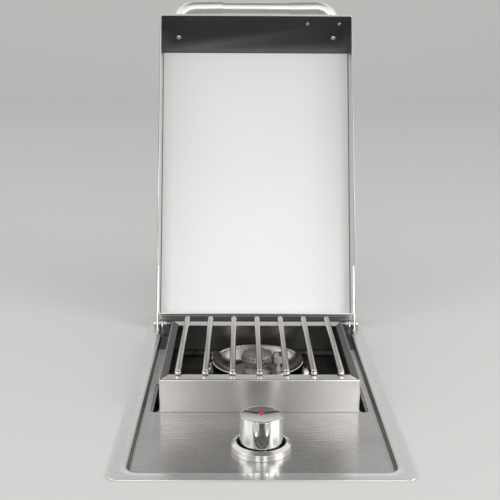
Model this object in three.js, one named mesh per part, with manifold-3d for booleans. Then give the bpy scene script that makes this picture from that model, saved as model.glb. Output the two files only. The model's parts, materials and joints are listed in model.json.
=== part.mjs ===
// Built-in side burner: a drop-in deck with one gas burner under a rod grate, a control knob in a
// bezel, a lid hinged at the rear, and the gas train and housing below the counter.
// Millimetres, X to the right, Y to the back, Z up. The origin is on the underside of the front
// rim's middle, where the unit rests on the counter. The lid is shown open.

import * as THREE from "three";
import { mergeVertices } from "three/addons/utils/BufferGeometryUtils.js";
import Module from "manifold-3d";

const wasm = await Module();
wasm.setup();

// Sizes shared by all the pieces

const seatGap = 0.3; // left between two pieces that touch on the real product
const runningGap = 0.5; // round a pin or a sleeve that turns or slides
const overrun = 5; // how far a cut runs past the piece it cuts
const weldDistance = 1e-4;

// Deck: one pressed sheet, its outer edge folded under, its middle pressed down

const deck = {
  width: 334,
  depth: 550,
  cornerRadius: 12,
  sheet: 1.2,
  edgeRadius: 0.9,
  hemWidth: 9,
  sideFlange: 20,
  frontFlange: 18.2,
  rearFlange: 22,
  recessDepth: 7,
  recessCorner: 13,
  bendRadius: 3,
};
const hemThickness = 2 * deck.sheet;
const frontEdge = -deck.hemWidth / 2;
const rearEdge = frontEdge + deck.depth;
const flangeTop = hemThickness;
const recess = {
  halfWidth: deck.width / 2 - deck.sideFlange,
  front: frontEdge + deck.frontFlange,
  rear: rearEdge - deck.rearFlange,
  floorTop: flangeTop - deck.recessDepth,
};
recess.floorBottom = recess.floorTop - deck.sheet;

// Burner box: walls that stand on the recess floor, with flanges folded in at the top

const box = {
  fromWall: 20.7,
  fromFront: 193.6,
  depth: 234.4,
  height: 43.6,
  sheet: 1.2,
  bendRadius: 2.2,
  cornerRadius: 1.6,
  sideFlange: 10.6,
  frontFlange: 17.4,
  rearFlange: 20.5,
  mitreGap: 1.4,
};
box.width = 2 * (recess.halfWidth - box.fromWall);
box.bottom = recess.floorTop + seatGap;
box.top = box.bottom + box.height;
box.front = frontEdge + box.fromFront;
box.rear = box.front + box.depth;
box.centreY = box.front + box.depth / 2;

// Grate rods across the top of the box

const rod = { count: 7, radius: 4, sideInset: 22.92, endRound: 0.8, frontInset: 13.7, rearInset: 0.6 };
rod.pitch = (box.width - 2 * rod.sideInset) / (rod.count - 1);
rod.length = box.depth - rod.frontInset - rod.rearInset;
rod.axisZ = box.top + seatGap + rod.radius;

// Drip tray that hangs in the deck's opening inside the box

const tray = { rimWidth: 8.6, depth: 6.2, sheet: 0.9, cornerRadius: 8, bendRadius: 1.8, wallSlope: 1.6 };
tray.rimTop = recess.floorTop + seatGap + tray.sheet;
tray.floorTop = tray.rimTop - tray.depth;
const well = {
  halfWidth: box.width / 2 - box.sheet - tray.rimWidth + tray.sheet + seatGap,
  front: box.front + box.sheet + tray.rimWidth - tray.sheet - seatGap,
  rear: box.rear - box.sheet - tray.rimWidth + tray.sheet + seatGap,
  cornerRadius: tray.cornerRadius,
};

// Burner: bracket, bowl, cast base, ported cap

const burner = { behindBoxCentre: 33.2 };
const burnerCentreY = box.centreY + burner.behindBoxCentre;
const bracket = {
  thickness: 1.5,
  halfLength: 72.6,
  halfWidth: 20,
  earHeight: 30.7,
  earX: 66.7,
  earTopWidth: 7,
  earNeckWidth: 2.4,
  earNeckRise: 13,
  earTabRise: 22.5,
  earOffset: 3.5,
};
bracket.bottom = tray.floorTop + seatGap;
bracket.top = bracket.bottom + bracket.thickness;
const bowl = {
  thickness: 1,
  rimRadius: 65,
  rimHeight: 17.9,
  slopeStart: 15,
  slopeEnd: 48,
  skirtHeight: 15.5,
  skirtTaper: 1.5,
  lipRadius: 1.6,
};
bowl.bottom = bracket.top + seatGap;
const burnerBase = {
  radius: 15.5,
  bore: 11.5,
  shoulderRadius: 21,
  shoulderThickness: 2.6,
  headRadius: 18.6,
  headHeight: 4.5,
  spigotLength: 15,
};
burnerBase.shoulderBottom = bowl.bottom + bowl.thickness + seatGap;
const cap = {
  radius: 23.8,
  height: 15.5,
  wall: 2.2,
  skirtRadius: 22.2,
  widestHeight: 3,
  portCount: 19,
  portRadius: 0.95,
  portHeight: 6.5,
  shoulderRadius: 20.6,
  shoulderHeight: 10,
  crownRadius: 11,
  crownHeight: 14.2,
};
cap.bottom = bowl.bottom + bowl.rimHeight - bowl.thickness;
burnerBase.top = cap.bottom + cap.wall;

// Spark electrode and its shield

const electrode = {
  offset: 29.5,
  ceramicRadius: 2.6,
  collarRadius: 3.8,
  collarHeight: 4,
  ceramicHeight: 13,
  tailLength: 14,
  pinRadius: 0.9,
  pinRise: 8.5,
  pinReach: 3,
};
const hood = {
  sheet: 1,
  farX: 36,
  nearX: 21.5,
  halfDepth: 10,
  top: 16,
  wallHeight: 10.5,
  capGap: 1,
  legWidth: 8,
};

// Knob, its bezel and the dark well that it turns in

const knobZone = { fromFront: 89.3 };
const knobCentreY = frontEdge + knobZone.fromFront;
const bezel = {
  radius: 34.6,
  boreRadius: 28.7,
  height: 10.7,
  wallHeight: 7.5,
  edgeRound: 1,
  innerRound: 1.2,
};
bezel.bottom = recess.floorTop + seatGap;
bezel.top = bezel.bottom + bezel.height;
const knobWell = { wall: 1, floorThickness: 1, depth: 15.2, stemHole: 6.5 };
knobWell.radius = bezel.boreRadius - seatGap;
knobWell.top = bezel.top - bezel.innerRound - seatGap;
knobWell.bottom = knobWell.top - knobWell.depth;
const knob = {
  baseRadius: 25.6,
  topRadius: 24.8,
  height: 43.9,
  travel: 3.5,
  roundRadius: 1.2,
  faceRadius: 22.4,
  faceDepth: 5,
  dish: 2.6,
  dishShares: [1, 0.6, 0],
  plainHeight: 12,
  fluteRunIn: 8,
  fluteCount: 9,
  pointsPerFlute: 4,
  fluteDepth: 1.1,
  boreDepth: 24,
  hollowRadius: 21,
  hollowDepth: 9,
};
knob.bottom = knobWell.bottom + knobWell.floorThickness + knob.travel + runningGap;
knob.top = knob.bottom + knob.height;
const pointer = { length: 12, width: 4, depth: 0.9, proud: 0.2, offset: 9.5 };
pointer.bottom = knob.top - knob.dish - pointer.depth;

// Valve, its stem and bracket, and the gas train

const gasAxis = { belowFlange: 50 };
const gasAxisZ = flangeTop - gasAxis.belowFlange;
const hat = { thickness: 1.5, halfTop: 36, halfFoot: 52, depth: 44, stemHole: 6.5 };
hat.top = knobWell.bottom - seatGap;
hat.footTop = recess.floorBottom - seatGap;
const valve = {
  halfWidth: 13,
  halfDepth: 15,
  cornerRadius: 4,
  bonnetRadius: 11,
  bonnetHeight: 7,
  bossRadius: 8.5,
  bossLength: 7,
  stemRadius: 4,
  stemFlat: 1.1,
  plugRadius: 8,
  plugLength: 24,
  plugFloor: 6,
  bottomBelowAxis: 12,
};
valve.top = hat.top - hat.thickness - seatGap;
valve.plugTop = valve.top - seatGap;
valve.plugBottom = valve.plugTop - valve.plugLength;
const orifice = { hexRadius: 6.6, hexLength: 6, noseRadius: 4.2, noseTip: 2.2, noseLength: 9, bore: 0.9 };
const venturi = { radius: 12, wall: 1.4, mouthRadius: 17, mouthLength: 20 };
const shutter = {
  radius: 19,
  wall: 1,
  length: 16,
  windowCount: 4,
  windowWidth: 10,
  windowLength: 8,
  noseHole: 6,
};
const piezo = { width: 20, depth: 16, height: 26, cornerRadius: 5, terminalRadius: 2.6, terminalLength: 6 };
const gasTube = { radius: 4.76, wall: 1.1 };
const inlet = { hexRadius: 11, hexLength: 10, threadRadius: 8, threadLength: 14, bore: 4 };
const lead = { radius: 1.6 };
const gasRun = { fromSide: 38, fromRear: 49 };

// Housing below the deck

const housing = {
  sideInset: 11,
  frontInset: 12,
  rearInset: 12,
  sheet: 1,
  depth: 104,
  flange: 8,
  pocketClearance: 7,
  cornerRadius: 3,
  ventCount: 6,
  ventLength: 26,
  ventHeight: 5,
  ventPitch: 46,
  plateFlange: 7,
  louvreCount: 7,
  louvreWidth: 90,
  louvreHeight: 5,
  louvrePitch: 30,
};
housing.halfWidth = recess.halfWidth - housing.sideInset;
housing.front = recess.front + housing.frontInset;
housing.rear = recess.rear - housing.rearInset;
housing.top = recess.floorBottom - seatGap;
housing.bottom = housing.top - housing.depth;

// Lid, drawn closed about its pivot and then swung open

const pivot = { fromRear: 37.3, aboveFlange: 5.4 };
pivot.y = rearEdge - pivot.fromRear;
pivot.z = flangeTop + pivot.aboveFlange;
const lid = {
  openAngle: 110,
  sideInset: 8.8,
  sheet: 1.2,
  edgeFromFront: 8.4,
  innerHeight: 64.6,
  frontSlope: 42.7,
  rearWall: 14.8,
  bendRadius: 3,
  hemHeight: 8,
  linerSheet: 0.8,
  linerInset: 2.5,
  linerRearInset: 1.5,
};
lid.halfWidth = deck.width / 2 - lid.sideInset;
lid.reach = pivot.y - frontEdge - lid.edgeFromFront;
lid.lowZ = seatGap - pivot.aboveFlange;
lid.linerZ = lid.innerHeight - pivot.aboveFlange;
lid.roofInnerZ = lid.linerZ + lid.linerSheet + seatGap;
lid.slopeRun = lid.frontSlope / (lid.linerZ - lid.lowZ);
const frontWallTilt = Math.atan(lid.slopeRun);

// Handle on the lid's sloping front wall

const handle = {
  fromLidSide: 28.7,
  wallShare: 0.583,
  reach: 48.3,
  drop: 6,
  tubeRadius: 9.5,
  endRadius: 11,
  footRadius: 13.5,
  footLength: 6,
  bendRadius: 27,
  endLength: 73.5,
  socketDepth: 14,
  screwRadius: 2.4,
  screwLength: 13,
  screwHeadRadius: 4.4,
  screwHeadHeight: 2.6,
};
handle.halfSpan = lid.halfWidth - handle.fromLidSide;
handle.collarX = handle.halfSpan - handle.endLength;
const stud = {
  radius: 1.8,
  headRadius: 3,
  headHeight: 1.3,
  fromLidSide: 20.8,
  spacing: 52.6,
  wallShare: 0.208,
};
stud.firstX = lid.halfWidth - stud.fromLidSide - stud.spacing;

// Hinge at each rear corner

const hinge = {
  boltRadius: 2.5,
  headRadius: 4.6,
  headLength: 5,
  armThickness: 1.5,
  armClearance: 0.4,
  armFront: 92,
  armTail: 16,
  armTop: 14,
  armTailShare: 0.25,
  spacerRadius: 4.6,
  spacerSpace: 6.2,
  nutRadius: 4.6,
  nutLength: 5.4,
  lugThickness: 1.5,
  lugHalfDepth: 9,
  lugRise: 6.8,
  lugStepDrop: 22,
  lugFootDepth: 22,
  boltBeyondLug: 13.4,
  pocketFromBox: 2.2,
  pocketFromWall: 1,
  pocketLead: 3,
  pocketRear: 5.3,
  notchBeyondLid: 0.8,
  notchFront: 34.7,
  notchRear: 20.3,
  notchRadius: 3,
};
hinge.armInnerX = lid.halfWidth - lid.sheet - hinge.armClearance - hinge.armThickness;
hinge.lugOuterX = hinge.armInnerX - hinge.spacerSpace;
hinge.boltEndX = hinge.lugOuterX - hinge.boltBeyondLug;
hinge.pocketInnerX = box.width / 2 + hinge.pocketFromBox;
hinge.pocketOuterX = recess.halfWidth - hinge.pocketFromWall;
hinge.notchX = lid.halfWidth + hinge.notchBeyondLid;

// Slots in the recess floor beside the box, and the two screws near its front

const slot = { width: 10.6, length: 96, gap: 1.2, cornerRadius: 4 };
const deckScrew = {
  fromWall: 34,
  fromFront: 24.8,
  radius: 2,
  headRadius: 3,
  crownRadius: 1.8,
  headHeight: 1.4,
  length: 9,
};
deckScrew.x = recess.halfWidth - deckScrew.fromWall;

// Geometry helpers

/** Welds a geometry's shared vertices, drops empty triangles and turns its faces outward. */
function welded(geometry) {
  const bare = geometry.clone();
  bare.deleteAttribute("normal");
  bare.deleteAttribute("uv");
  const merged = mergeVertices(bare, weldDistance);
  const source = merged.index.array;
  const kept = [];
  for (let i = 0; i < source.length; i += 3) {
    const [a, b, c] = [source[i], source[i + 1], source[i + 2]];
    if (a !== b && b !== c && c !== a) kept.push(a, b, c);
  }
  merged.setIndex(kept);
  if (signedVolume(merged) < 0) {
    for (let i = 0; i < kept.length; i += 3) [kept[i + 1], kept[i + 2]] = [kept[i + 2], kept[i + 1]];
    merged.setIndex(kept);
  }
  return merged;
}

/** Six times the volume inside an indexed geometry, negative when its faces point inward. */
function signedVolume(geometry) {
  const at = geometry.attributes.position;
  const [a, b, c] = [new THREE.Vector3(), new THREE.Vector3(), new THREE.Vector3()];
  let total = 0;
  for (let i = 0; i < geometry.index.count; i += 3) {
    a.fromBufferAttribute(at, geometry.index.getX(i));
    b.fromBufferAttribute(at, geometry.index.getX(i + 1));
    c.fromBufferAttribute(at, geometry.index.getX(i + 2));
    total += a.dot(b.cross(c));
  }
  return total;
}

/** Turns a closed geometry into a solid that can be joined and cut. */
function solidOf(geometry) {
  const closed = welded(geometry);
  return new wasm.Manifold(
    new wasm.Mesh({
      numProp: 3,
      vertProperties: new Float32Array(closed.attributes.position.array),
      triVerts: new Uint32Array(closed.index.array),
    }),
  );
}

/** Turns a solid back into a geometry. */
function geometryOf(solid) {
  const mesh = solid.getMesh();
  const geometry = new THREE.BufferGeometry();
  geometry.setAttribute("position", new THREE.BufferAttribute(new Float32Array(mesh.vertProperties), 3));
  geometry.setIndex(Array.from(mesh.triVerts));
  return geometry;
}

/** Joins geometries and then cuts others out of the result. */
function shaped(parts, cuts = []) {
  const [first, ...others] = parts;
  let solid = solidOf(first);
  for (const part of others) solid = solid.add(solidOf(part));
  for (const cut of cuts) solid = solid.subtract(solidOf(cut));
  return geometryOf(solid);
}

/** A box given by its least and greatest corners. */
function block(x0, x1, y0, y1, z0, z1) {
  const geometry = new THREE.BoxGeometry(x1 - x0, y1 - y0, z1 - z0);
  return geometry.translate((x0 + x1) / 2, (y0 + y1) / 2, (z0 + z1) / 2);
}

/** A solid of revolution about Z from a profile of [radius, height] pairs. */
function revolved(profile, sides) {
  const points = profile.map(([radius, height]) => new THREE.Vector2(radius, height));
  return new THREE.LatheGeometry(points, sides).rotateX(Math.PI / 2);
}

/** A round bar along Z between two heights. */
function bar(radius, z0, z1, sides = 24) {
  return revolved([[0, z0], [radius, z0], [radius, z1], [0, z1]], sides);
}

/** Points of an arc about a centre, from one angle to another in degrees. */
function arc(centreX, centreY, radius, from, to, steps) {
  return Array.from({ length: steps + 1 }, (_, i) => {
    const angle = THREE.MathUtils.degToRad(from + ((to - from) * i) / steps);
    return [centreX + radius * Math.cos(angle), centreY + radius * Math.sin(angle)];
  });
}

/** Offsets a polyline to its left by a distance, with mitred corners. */
function offsetLine(points, distance, closed = false) {
  const count = points.length;
  return points.map((point, i) => {
    const before = closed ? points[(i + count - 1) % count] : points[Math.max(i - 1, 0)];
    const after = closed ? points[(i + 1) % count] : points[Math.min(i + 1, count - 1)];
    const here = new THREE.Vector2(...point);
    const into = i > 0 || closed ? here.clone().sub(new THREE.Vector2(...before)).normalize() : null;
    const away = i < count - 1 || closed ? new THREE.Vector2(...after).sub(here).normalize() : null;
    const first = into ?? away;
    const second = away ?? into;
    const normal = new THREE.Vector2(-first.y - second.y, first.x + second.x).normalize();
    const stretch = distance / (normal.x * -first.y + normal.y * first.x);
    return [point[0] + normal.x * stretch, point[1] + normal.y * stretch];
  });
}

/** The closed outline of a bent strip that lies to the left of a line. */
function stripOutline(points, thickness) {
  return [...points, ...offsetLine(points, thickness).reverse()];
}

/** A 2D outline extruded along Z between two heights, with optional round holes. */
function prism(outline, z0, z1, holes = []) {
  const shape = new THREE.Shape(outline.map(([x, y]) => new THREE.Vector2(x, y)));
  for (const hole of holes) {
    const path = new THREE.Path();
    path.absarc(hole.x, hole.y, hole.radius, 0, Math.PI * 2, true);
    shape.holes.push(path);
  }
  const options = { depth: z1 - z0, bevelEnabled: false, curveSegments: 6 };
  return new THREE.ExtrudeGeometry(shape, options).translate(0, 0, z0);
}

/** An outline in the XZ plane extruded along Y. */
function prismAlongY(outline, y0, y1, holes = []) {
  return prism(outline, -y1, -y0, holes).rotateX(Math.PI / 2);
}

/** An outline in the YZ plane extruded along X. */
function prismAlongX(outline, x0, x1, holes = []) {
  return prism(outline, x0, x1, holes).rotateZ(Math.PI / 2).rotateY(Math.PI / 2);
}

/** The outline of a rectangle with round corners. */
function roundedOutline(x0, x1, y0, y1, radius, steps = 3) {
  return [
    ...arc(x1 - radius, y0 + radius, radius, -90, 0, steps),
    ...arc(x1 - radius, y1 - radius, radius, 0, 90, steps),
    ...arc(x0 + radius, y1 - radius, radius, 90, 180, steps),
    ...arc(x0 + radius, y0 + radius, radius, 180, 270, steps),
  ];
}

/** Skins a list of rings of equal length. A closed list joins its last ring to its first. */
function lofted(rings, closed = false) {
  const sides = rings[0].length;
  const positions = rings.flat().flatMap((point) => [point.x, point.y, point.z]);
  const index = [];
  const spans = closed ? rings.length : rings.length - 1;
  for (let r = 0; r < spans; r += 1) {
    const low = r * sides;
    const high = ((r + 1) % rings.length) * sides;
    for (let i = 0; i < sides; i += 1) {
      const next = (i + 1) % sides;
      index.push(low + i, low + next, high + next, low + i, high + next, high + i);
    }
  }
  if (!closed) {
    for (const [start, flip] of [[0, true], [(rings.length - 1) * sides, false]]) {
      const centre = positions.length / 3;
      const ring = start === 0 ? rings[0] : rings[rings.length - 1];
      const middle = ring.reduce((sum, point) => sum.add(point), new THREE.Vector3()).divideScalar(sides);
      positions.push(middle.x, middle.y, middle.z);
      for (let i = 0; i < sides; i += 1) {
        const next = start + ((i + 1) % sides);
        index.push(centre, flip ? next : start + i, flip ? start + i : next);
      }
    }
  }
  const geometry = new THREE.BufferGeometry();
  geometry.setAttribute("position", new THREE.Float32BufferAttribute(positions, 3));
  geometry.setIndex(index);
  return geometry;
}

/** A level ring with the outline of a round-cornered rectangle. */
function levelRing(halfWidth, front, rear, radius, z, steps = 3) {
  const outline = roundedOutline(-halfWidth, halfWidth, front, rear, radius, steps);
  return outline.map(([x, y]) => new THREE.Vector3(x, y, z));
}

/** A path of straight runs joined by round bends, with a station at each end of a run and along each bend. */
class BentPath extends THREE.Curve {
  constructor(points, bendRadius, bendSteps) {
    super();
    const first = points[1].clone().sub(points[0]).normalize();
    const last = points.at(-1).clone().sub(points.at(-2)).normalize();
    this.stations = [{ point: points[0], tangent: first }];
    for (let i = 1; i < points.length - 1; i += 1) {
      this.addBend(points[i - 1], points[i], points[i + 1], bendRadius, bendSteps);
    }
    this.stations.push({ point: points.at(-1), tangent: last });
    this.steps = this.stations.length - 1;
  }

  addBend(before, corner, after, bendRadius, bendSteps) {
    const into = corner.clone().sub(before).normalize();
    const away = after.clone().sub(corner).normalize();
    const turn = into.angleTo(away);
    const towards = away.clone().addScaledVector(into, -into.dot(away)).normalize();
    const start = corner.clone().addScaledVector(into, -bendRadius * Math.tan(turn / 2));
    for (let i = 0; i <= bendSteps; i += 1) {
      const angle = (turn * i) / bendSteps;
      const point = start.clone().addScaledVector(into, bendRadius * Math.sin(angle));
      point.addScaledVector(towards, bendRadius * (1 - Math.cos(angle)));
      const tangent = into.clone().multiplyScalar(Math.cos(angle)).addScaledVector(towards, Math.sin(angle));
      this.stations.push({ point, tangent });
    }
  }

  getPointAt(share) {
    return this.stations[Math.round(share * this.steps)].point.clone();
  }

  getTangentAt(share) {
    return this.stations[Math.round(share * this.steps)].tangent.clone();
  }
}

/** A tube, or a bar when it has no bore, along a path. */
function tubeAlong(path, radius, bore, sides, steps = path.steps) {
  const shape = new THREE.Shape();
  shape.absarc(0, 0, radius, 0, Math.PI * 2, false);
  if (bore > 0) {
    const hole = new THREE.Path();
    hole.absarc(0, 0, bore, 0, Math.PI * 2, true);
    shape.holes.push(hole);
  }
  const options = { steps, curveSegments: sides / 2, bevelEnabled: false, extrudePath: path };
  return new THREE.ExtrudeGeometry(shape, options);
}

/** A hexagon's outline. */
function hexagon(radius) {
  return arc(0, 0, radius, 0, 300, 5);
}

/** A hexagonal nut or bolt head along X, with an optional bore. */
function hexAlongX(radius, x0, x1, bore = 0) {
  const outline = hexagon(radius);
  const holes = bore > 0 ? [{ x: 0, y: 0, radius: bore }] : [];
  return prismAlongX(outline, x0, x1, holes);
}

// Materials

const finishes = {
  brushedSteel: { color: 0xb9b7b3, roughness: 0.38, metalness: 1 },
  polishedSteel: { color: 0xd4d3cf, roughness: 0.16, metalness: 1 },
  chrome: { color: 0xe6e7e8, roughness: 0.06, metalness: 1 },
  satinChrome: { color: 0xcfcfcc, roughness: 0.24, metalness: 1 },
  galvanisedSteel: { color: 0x9fa19f, roughness: 0.5, metalness: 1 },
  darkSteel: { color: 0x3b3937, roughness: 0.6, metalness: 0.8 },
  blackPlastic: { color: 0x121212, roughness: 0.55, metalness: 0 },
  redEnamel: { color: 0xc8202a, roughness: 0.35, metalness: 0 },
  castBurner: { color: 0x8c8a84, roughness: 0.62, metalness: 0.9 },
  castAluminium: { color: 0xa8a9a8, roughness: 0.5, metalness: 1 },
  brass: { color: 0xb9964c, roughness: 0.3, metalness: 1 },
  ceramic: { color: 0xefece2, roughness: 0.35, metalness: 0 },
  leadRubber: { color: 0x2a2523, roughness: 0.7, metalness: 0 },
};

/** A named mesh in one of the finishes. */
function part(name, finish, geometry) {
  const mesh = new THREE.Mesh(welded(geometry), new THREE.MeshStandardMaterial(finishes[finish]));
  mesh.name = name;
  return mesh;
}

/** A group of parts at a place. */
function groupAt(x, y, z, parts) {
  const group = new THREE.Group();
  group.position.set(x, y, z);
  group.add(...parts);
  return group;
}

// Deck

/** A ring at a distance outside the recess's edge. */
function recessRing(grow, z) {
  const { halfWidth, front, rear } = recess;
  return levelRing(halfWidth + grow, front - grow, rear + grow, deck.recessCorner + grow, z);
}

/** A ring at a distance inside the deck's outer edge. */
function rimRing(inset, z) {
  const corner = Math.max(deck.cornerRadius - inset, deck.sheet);
  return levelRing(deck.width / 2 - inset, frontEdge + inset, rearEdge - inset, corner, z);
}

function deckPlate() {
  const bend = deck.bendRadius;
  const lowBendZ = recess.floorTop + bend;
  const topFace = [
    ...arc(-bend, lowBendZ, bend, -90, 0, 3),
    ...arc(bend, flangeTop - bend, bend, 180, 90, 3),
  ].map(([grow, z]) => recessRing(grow, z));
  const edge = arc(deck.edgeRadius, flangeTop - deck.edgeRadius, deck.edgeRadius, 90, 180, 3);
  const rim = edge.map(([inset, z]) => rimRing(inset, z));
  const hem = [rimRing(0, 0), rimRing(deck.hemWidth, 0), rimRing(deck.hemWidth, flangeTop - deck.sheet)];
  const underFace = [
    ...arc(bend, flangeTop - bend, bend - deck.sheet, 90, 180, 2),
    ...arc(-bend, lowBendZ, bend + deck.sheet, 0, -90, 2),
  ].map(([grow, z]) => recessRing(grow, z));
  const sheet = lofted([...topFace, ...rim, ...hem, ...underFace]);
  const cutTop = flangeTop + overrun;
  const cutBottom = recess.floorBottom - overrun;
  const { halfWidth, front, rear, cornerRadius } = well;
  const wellOutline = roundedOutline(-halfWidth, halfWidth, front, rear, cornerRadius);
  const cuts = [prism(wellOutline, cutBottom, cutTop)];
  cuts.push(bar(bezel.boreRadius, cutBottom, cutTop, 32).translate(0, knobCentreY, 0));
  for (const side of [-1, 1]) {
    cuts.push(screwHole(side, cutBottom, cutTop));
    for (const outline of deckOpenings()) cuts.push(prism(outlineOnSide(outline, side), cutBottom, cutTop));
  }
  return shaped([sheet], cuts);
}

/** Outlines of the openings at one side of the deck: the slot, the hinge pocket and its notch. */
function deckOpenings() {
  const nearX = box.width / 2 + slot.gap;
  const farX = nearX + slot.width;
  const slotOutline = roundedOutline(nearX, farX, box.front, box.front + slot.length, slot.cornerRadius, 2);
  return [slotOutline, ...hingeOpenings()];
}

/** Outlines of the pocket behind the box and of the notch that the hinge arm swings in. */
function hingeOpenings() {
  const { pocketInnerX, pocketOuterX, notchX, notchRadius } = hinge;
  const pocketFront = box.rear - hinge.pocketLead;
  const pocketRear = pivot.y + hinge.pocketRear;
  const notchFront = pivot.y - hinge.notchFront;
  const notchRear = pivot.y + hinge.notchRear;
  return [
    roundedOutline(pocketInnerX, pocketOuterX, pocketFront, pocketRear, notchRadius, 2),
    roundedOutline(pocketInnerX, notchX, notchFront, notchRear, notchRadius, 2),
  ];
}

/** An outline on the right side, or its mirror image on the left. */
function outlineOnSide(outline, side) {
  return side > 0 ? outline : outline.map(([x, y]) => [-x, y]).reverse();
}

/** The hole for a deck screw, between two heights. */
function screwHole(side, z0, z1) {
  const hole = bar(deckScrew.radius + seatGap, z0, z1, 12);
  return hole.translate(side * deckScrew.x, frontEdge + deckScrew.fromFront, 0);
}

function deckScrewShape() {
  const head = deckScrew.headHeight;
  const seat = recess.floorTop + seatGap;
  const profile = [
    [0, seat - deckScrew.length],
    [deckScrew.radius, seat - deckScrew.length],
    [deckScrew.radius, seat],
    [deckScrew.headRadius, seat],
    [deckScrew.headRadius, seat + head / 3],
    [deckScrew.crownRadius, seat + head],
    [0, seat + head],
  ];
  return revolved(profile, 12);
}

// Burner box, grate and tray

function burnerBox() {
  const { bendRadius: bend, sheet } = box;
  const ring = (inset, z) => {
    const corner = Math.max(box.cornerRadius - inset, sheet / 4);
    return levelRing(box.width / 2 - inset, box.front + inset, box.rear - inset, corner, z, 2);
  };
  const mouth = (z) => {
    const halfWidth = box.width / 2 - box.sideFlange;
    return levelRing(halfWidth, box.front + box.frontFlange, box.rear - box.rearFlange, sheet / 4, z, 2);
  };
  const outside = arc(bend, box.top - bend, bend, 180, 90, 3).map(([inset, z]) => ring(inset, z));
  const inside = arc(bend, box.top - bend, bend - sheet, 90, 180, 3).map(([inset, z]) => ring(inset, z));
  const rings = [ring(0, box.bottom), ...outside, mouth(box.top), mouth(box.top - sheet), ...inside];
  rings.push(ring(sheet, box.bottom));
  const cuts = [];
  for (const side of [-1, 1]) {
    cuts.push(mitreCut(side, box.front, box.frontFlange), mitreCut(side, box.rear, -box.rearFlange));
  }
  return shaped([lofted(rings, true)], cuts);
}

/** The narrow gap between two folded flanges at one corner of the box. */
function mitreCut(side, wallY, flange) {
  const { width, bendRadius, sideFlange } = box;
  const outer = new THREE.Vector2(side * (width / 2 - bendRadius), wallY + Math.sign(flange) * bendRadius);
  const inner = new THREE.Vector2(side * (width / 2 - sideFlange), wallY + flange);
  const along = inner.clone().sub(outer);
  const middle = outer.clone().addScaledVector(along, 0.5);
  const length = along.length() + box.mitreGap;
  const gap = new THREE.BoxGeometry(length, box.mitreGap, box.sheet + 2 * overrun);
  return gap.rotateZ(along.angle()).translate(middle.x, middle.y, box.top);
}

function grateRod() {
  const round = rod.endRound;
  const profile = [
    [0, 0],
    [rod.radius - round, 0],
    [rod.radius, round],
    [rod.radius, rod.length - round],
    [rod.radius - round, rod.length],
    [0, rod.length],
  ];
  return revolved(profile, 14).rotateX(-Math.PI / 2);
}

function dripTray() {
  const { sheet, bendRadius: bend } = tray;
  const edgeInset = box.sheet + seatGap;
  const rimInset = edgeInset + tray.rimWidth;
  const ring = (inset, corner, z) =>
    levelRing(box.width / 2 - inset, box.front + inset, box.rear - inset, corner, z);
  const wallTop = arc(rimInset - bend, tray.rimTop - bend, bend, 90, 0, 2);
  const wallFoot = arc(rimInset + tray.wallSlope + bend, tray.floorTop + bend, bend, 180, 270, 2);
  const topFace = [...wallTop, ...wallFoot].map(([inset, z]) => ring(inset, tray.cornerRadius, z));
  const under = stripOutline([...wallTop, ...wallFoot], -sheet).slice(wallTop.length + wallFoot.length);
  const underFace = under.map(([inset, z]) => ring(inset, tray.cornerRadius, z));
  const edge = [ring(edgeInset, sheet, tray.rimTop - sheet), ring(edgeInset, sheet, tray.rimTop)];
  const sheetRings = [...underFace, ...edge, ...topFace];
  const cutZ = [tray.floorTop - overrun, tray.floorTop + overrun];
  const cuts = [
    bar(burnerBase.radius + runningGap, ...cutZ, 20).translate(0, burnerCentreY, 0),
    bar(electrode.ceramicRadius + runningGap, ...cutZ, 12).translate(electrode.offset, burnerCentreY, 0),
  ];
  return shaped([lofted(sheetRings)], cuts);
}

// Burner, all about the burner's own axis

/** The strap under the bowl, with an upright clip at each end whose tab reaches over the bowl's rim. */
function burnerBracket() {
  const { top, bottom, thickness, halfLength, halfWidth, earX, earOffset } = bracket;
  const strap = prism(roundedOutline(-halfLength, halfLength, -halfWidth, halfWidth, thickness), bottom, top);
  const neck = bracket.earNeckWidth / 2;
  const clipOutline = [
    [-neck, bottom],
    [halfLength - earX, bottom],
    [halfLength - earX, top],
    [neck, bottom + bracket.earNeckRise],
    [neck, bottom + bracket.earTabRise - thickness],
    [bracket.earTopWidth / 2, bottom + bracket.earTabRise],
    [bracket.earTopWidth / 2, bottom + bracket.earHeight],
    [-bracket.earTopWidth / 2, bottom + bracket.earHeight],
    [-bracket.earTopWidth / 2, bottom + bracket.earTabRise],
    [-neck, bottom + bracket.earTabRise - thickness],
  ];
  const ears = [-1, 1].map((side) => {
    const outline = outlineOnSide(clipOutline, side).map(([x, z]) => [side * earX + x, z]);
    return prismAlongY(outline, -earOffset - thickness, -earOffset);
  });
  const cutZ = [bottom - overrun, top + overrun];
  const spigotHole = bar(burnerBase.radius + runningGap, ...cutZ, 20);
  const electrodeHole = bar(electrode.ceramicRadius + runningGap, ...cutZ, 12);
  electrodeHole.translate(electrode.offset, 0, 0);
  return shaped([strap, ...ears], [spigotHole, electrodeHole]);
}

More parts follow.
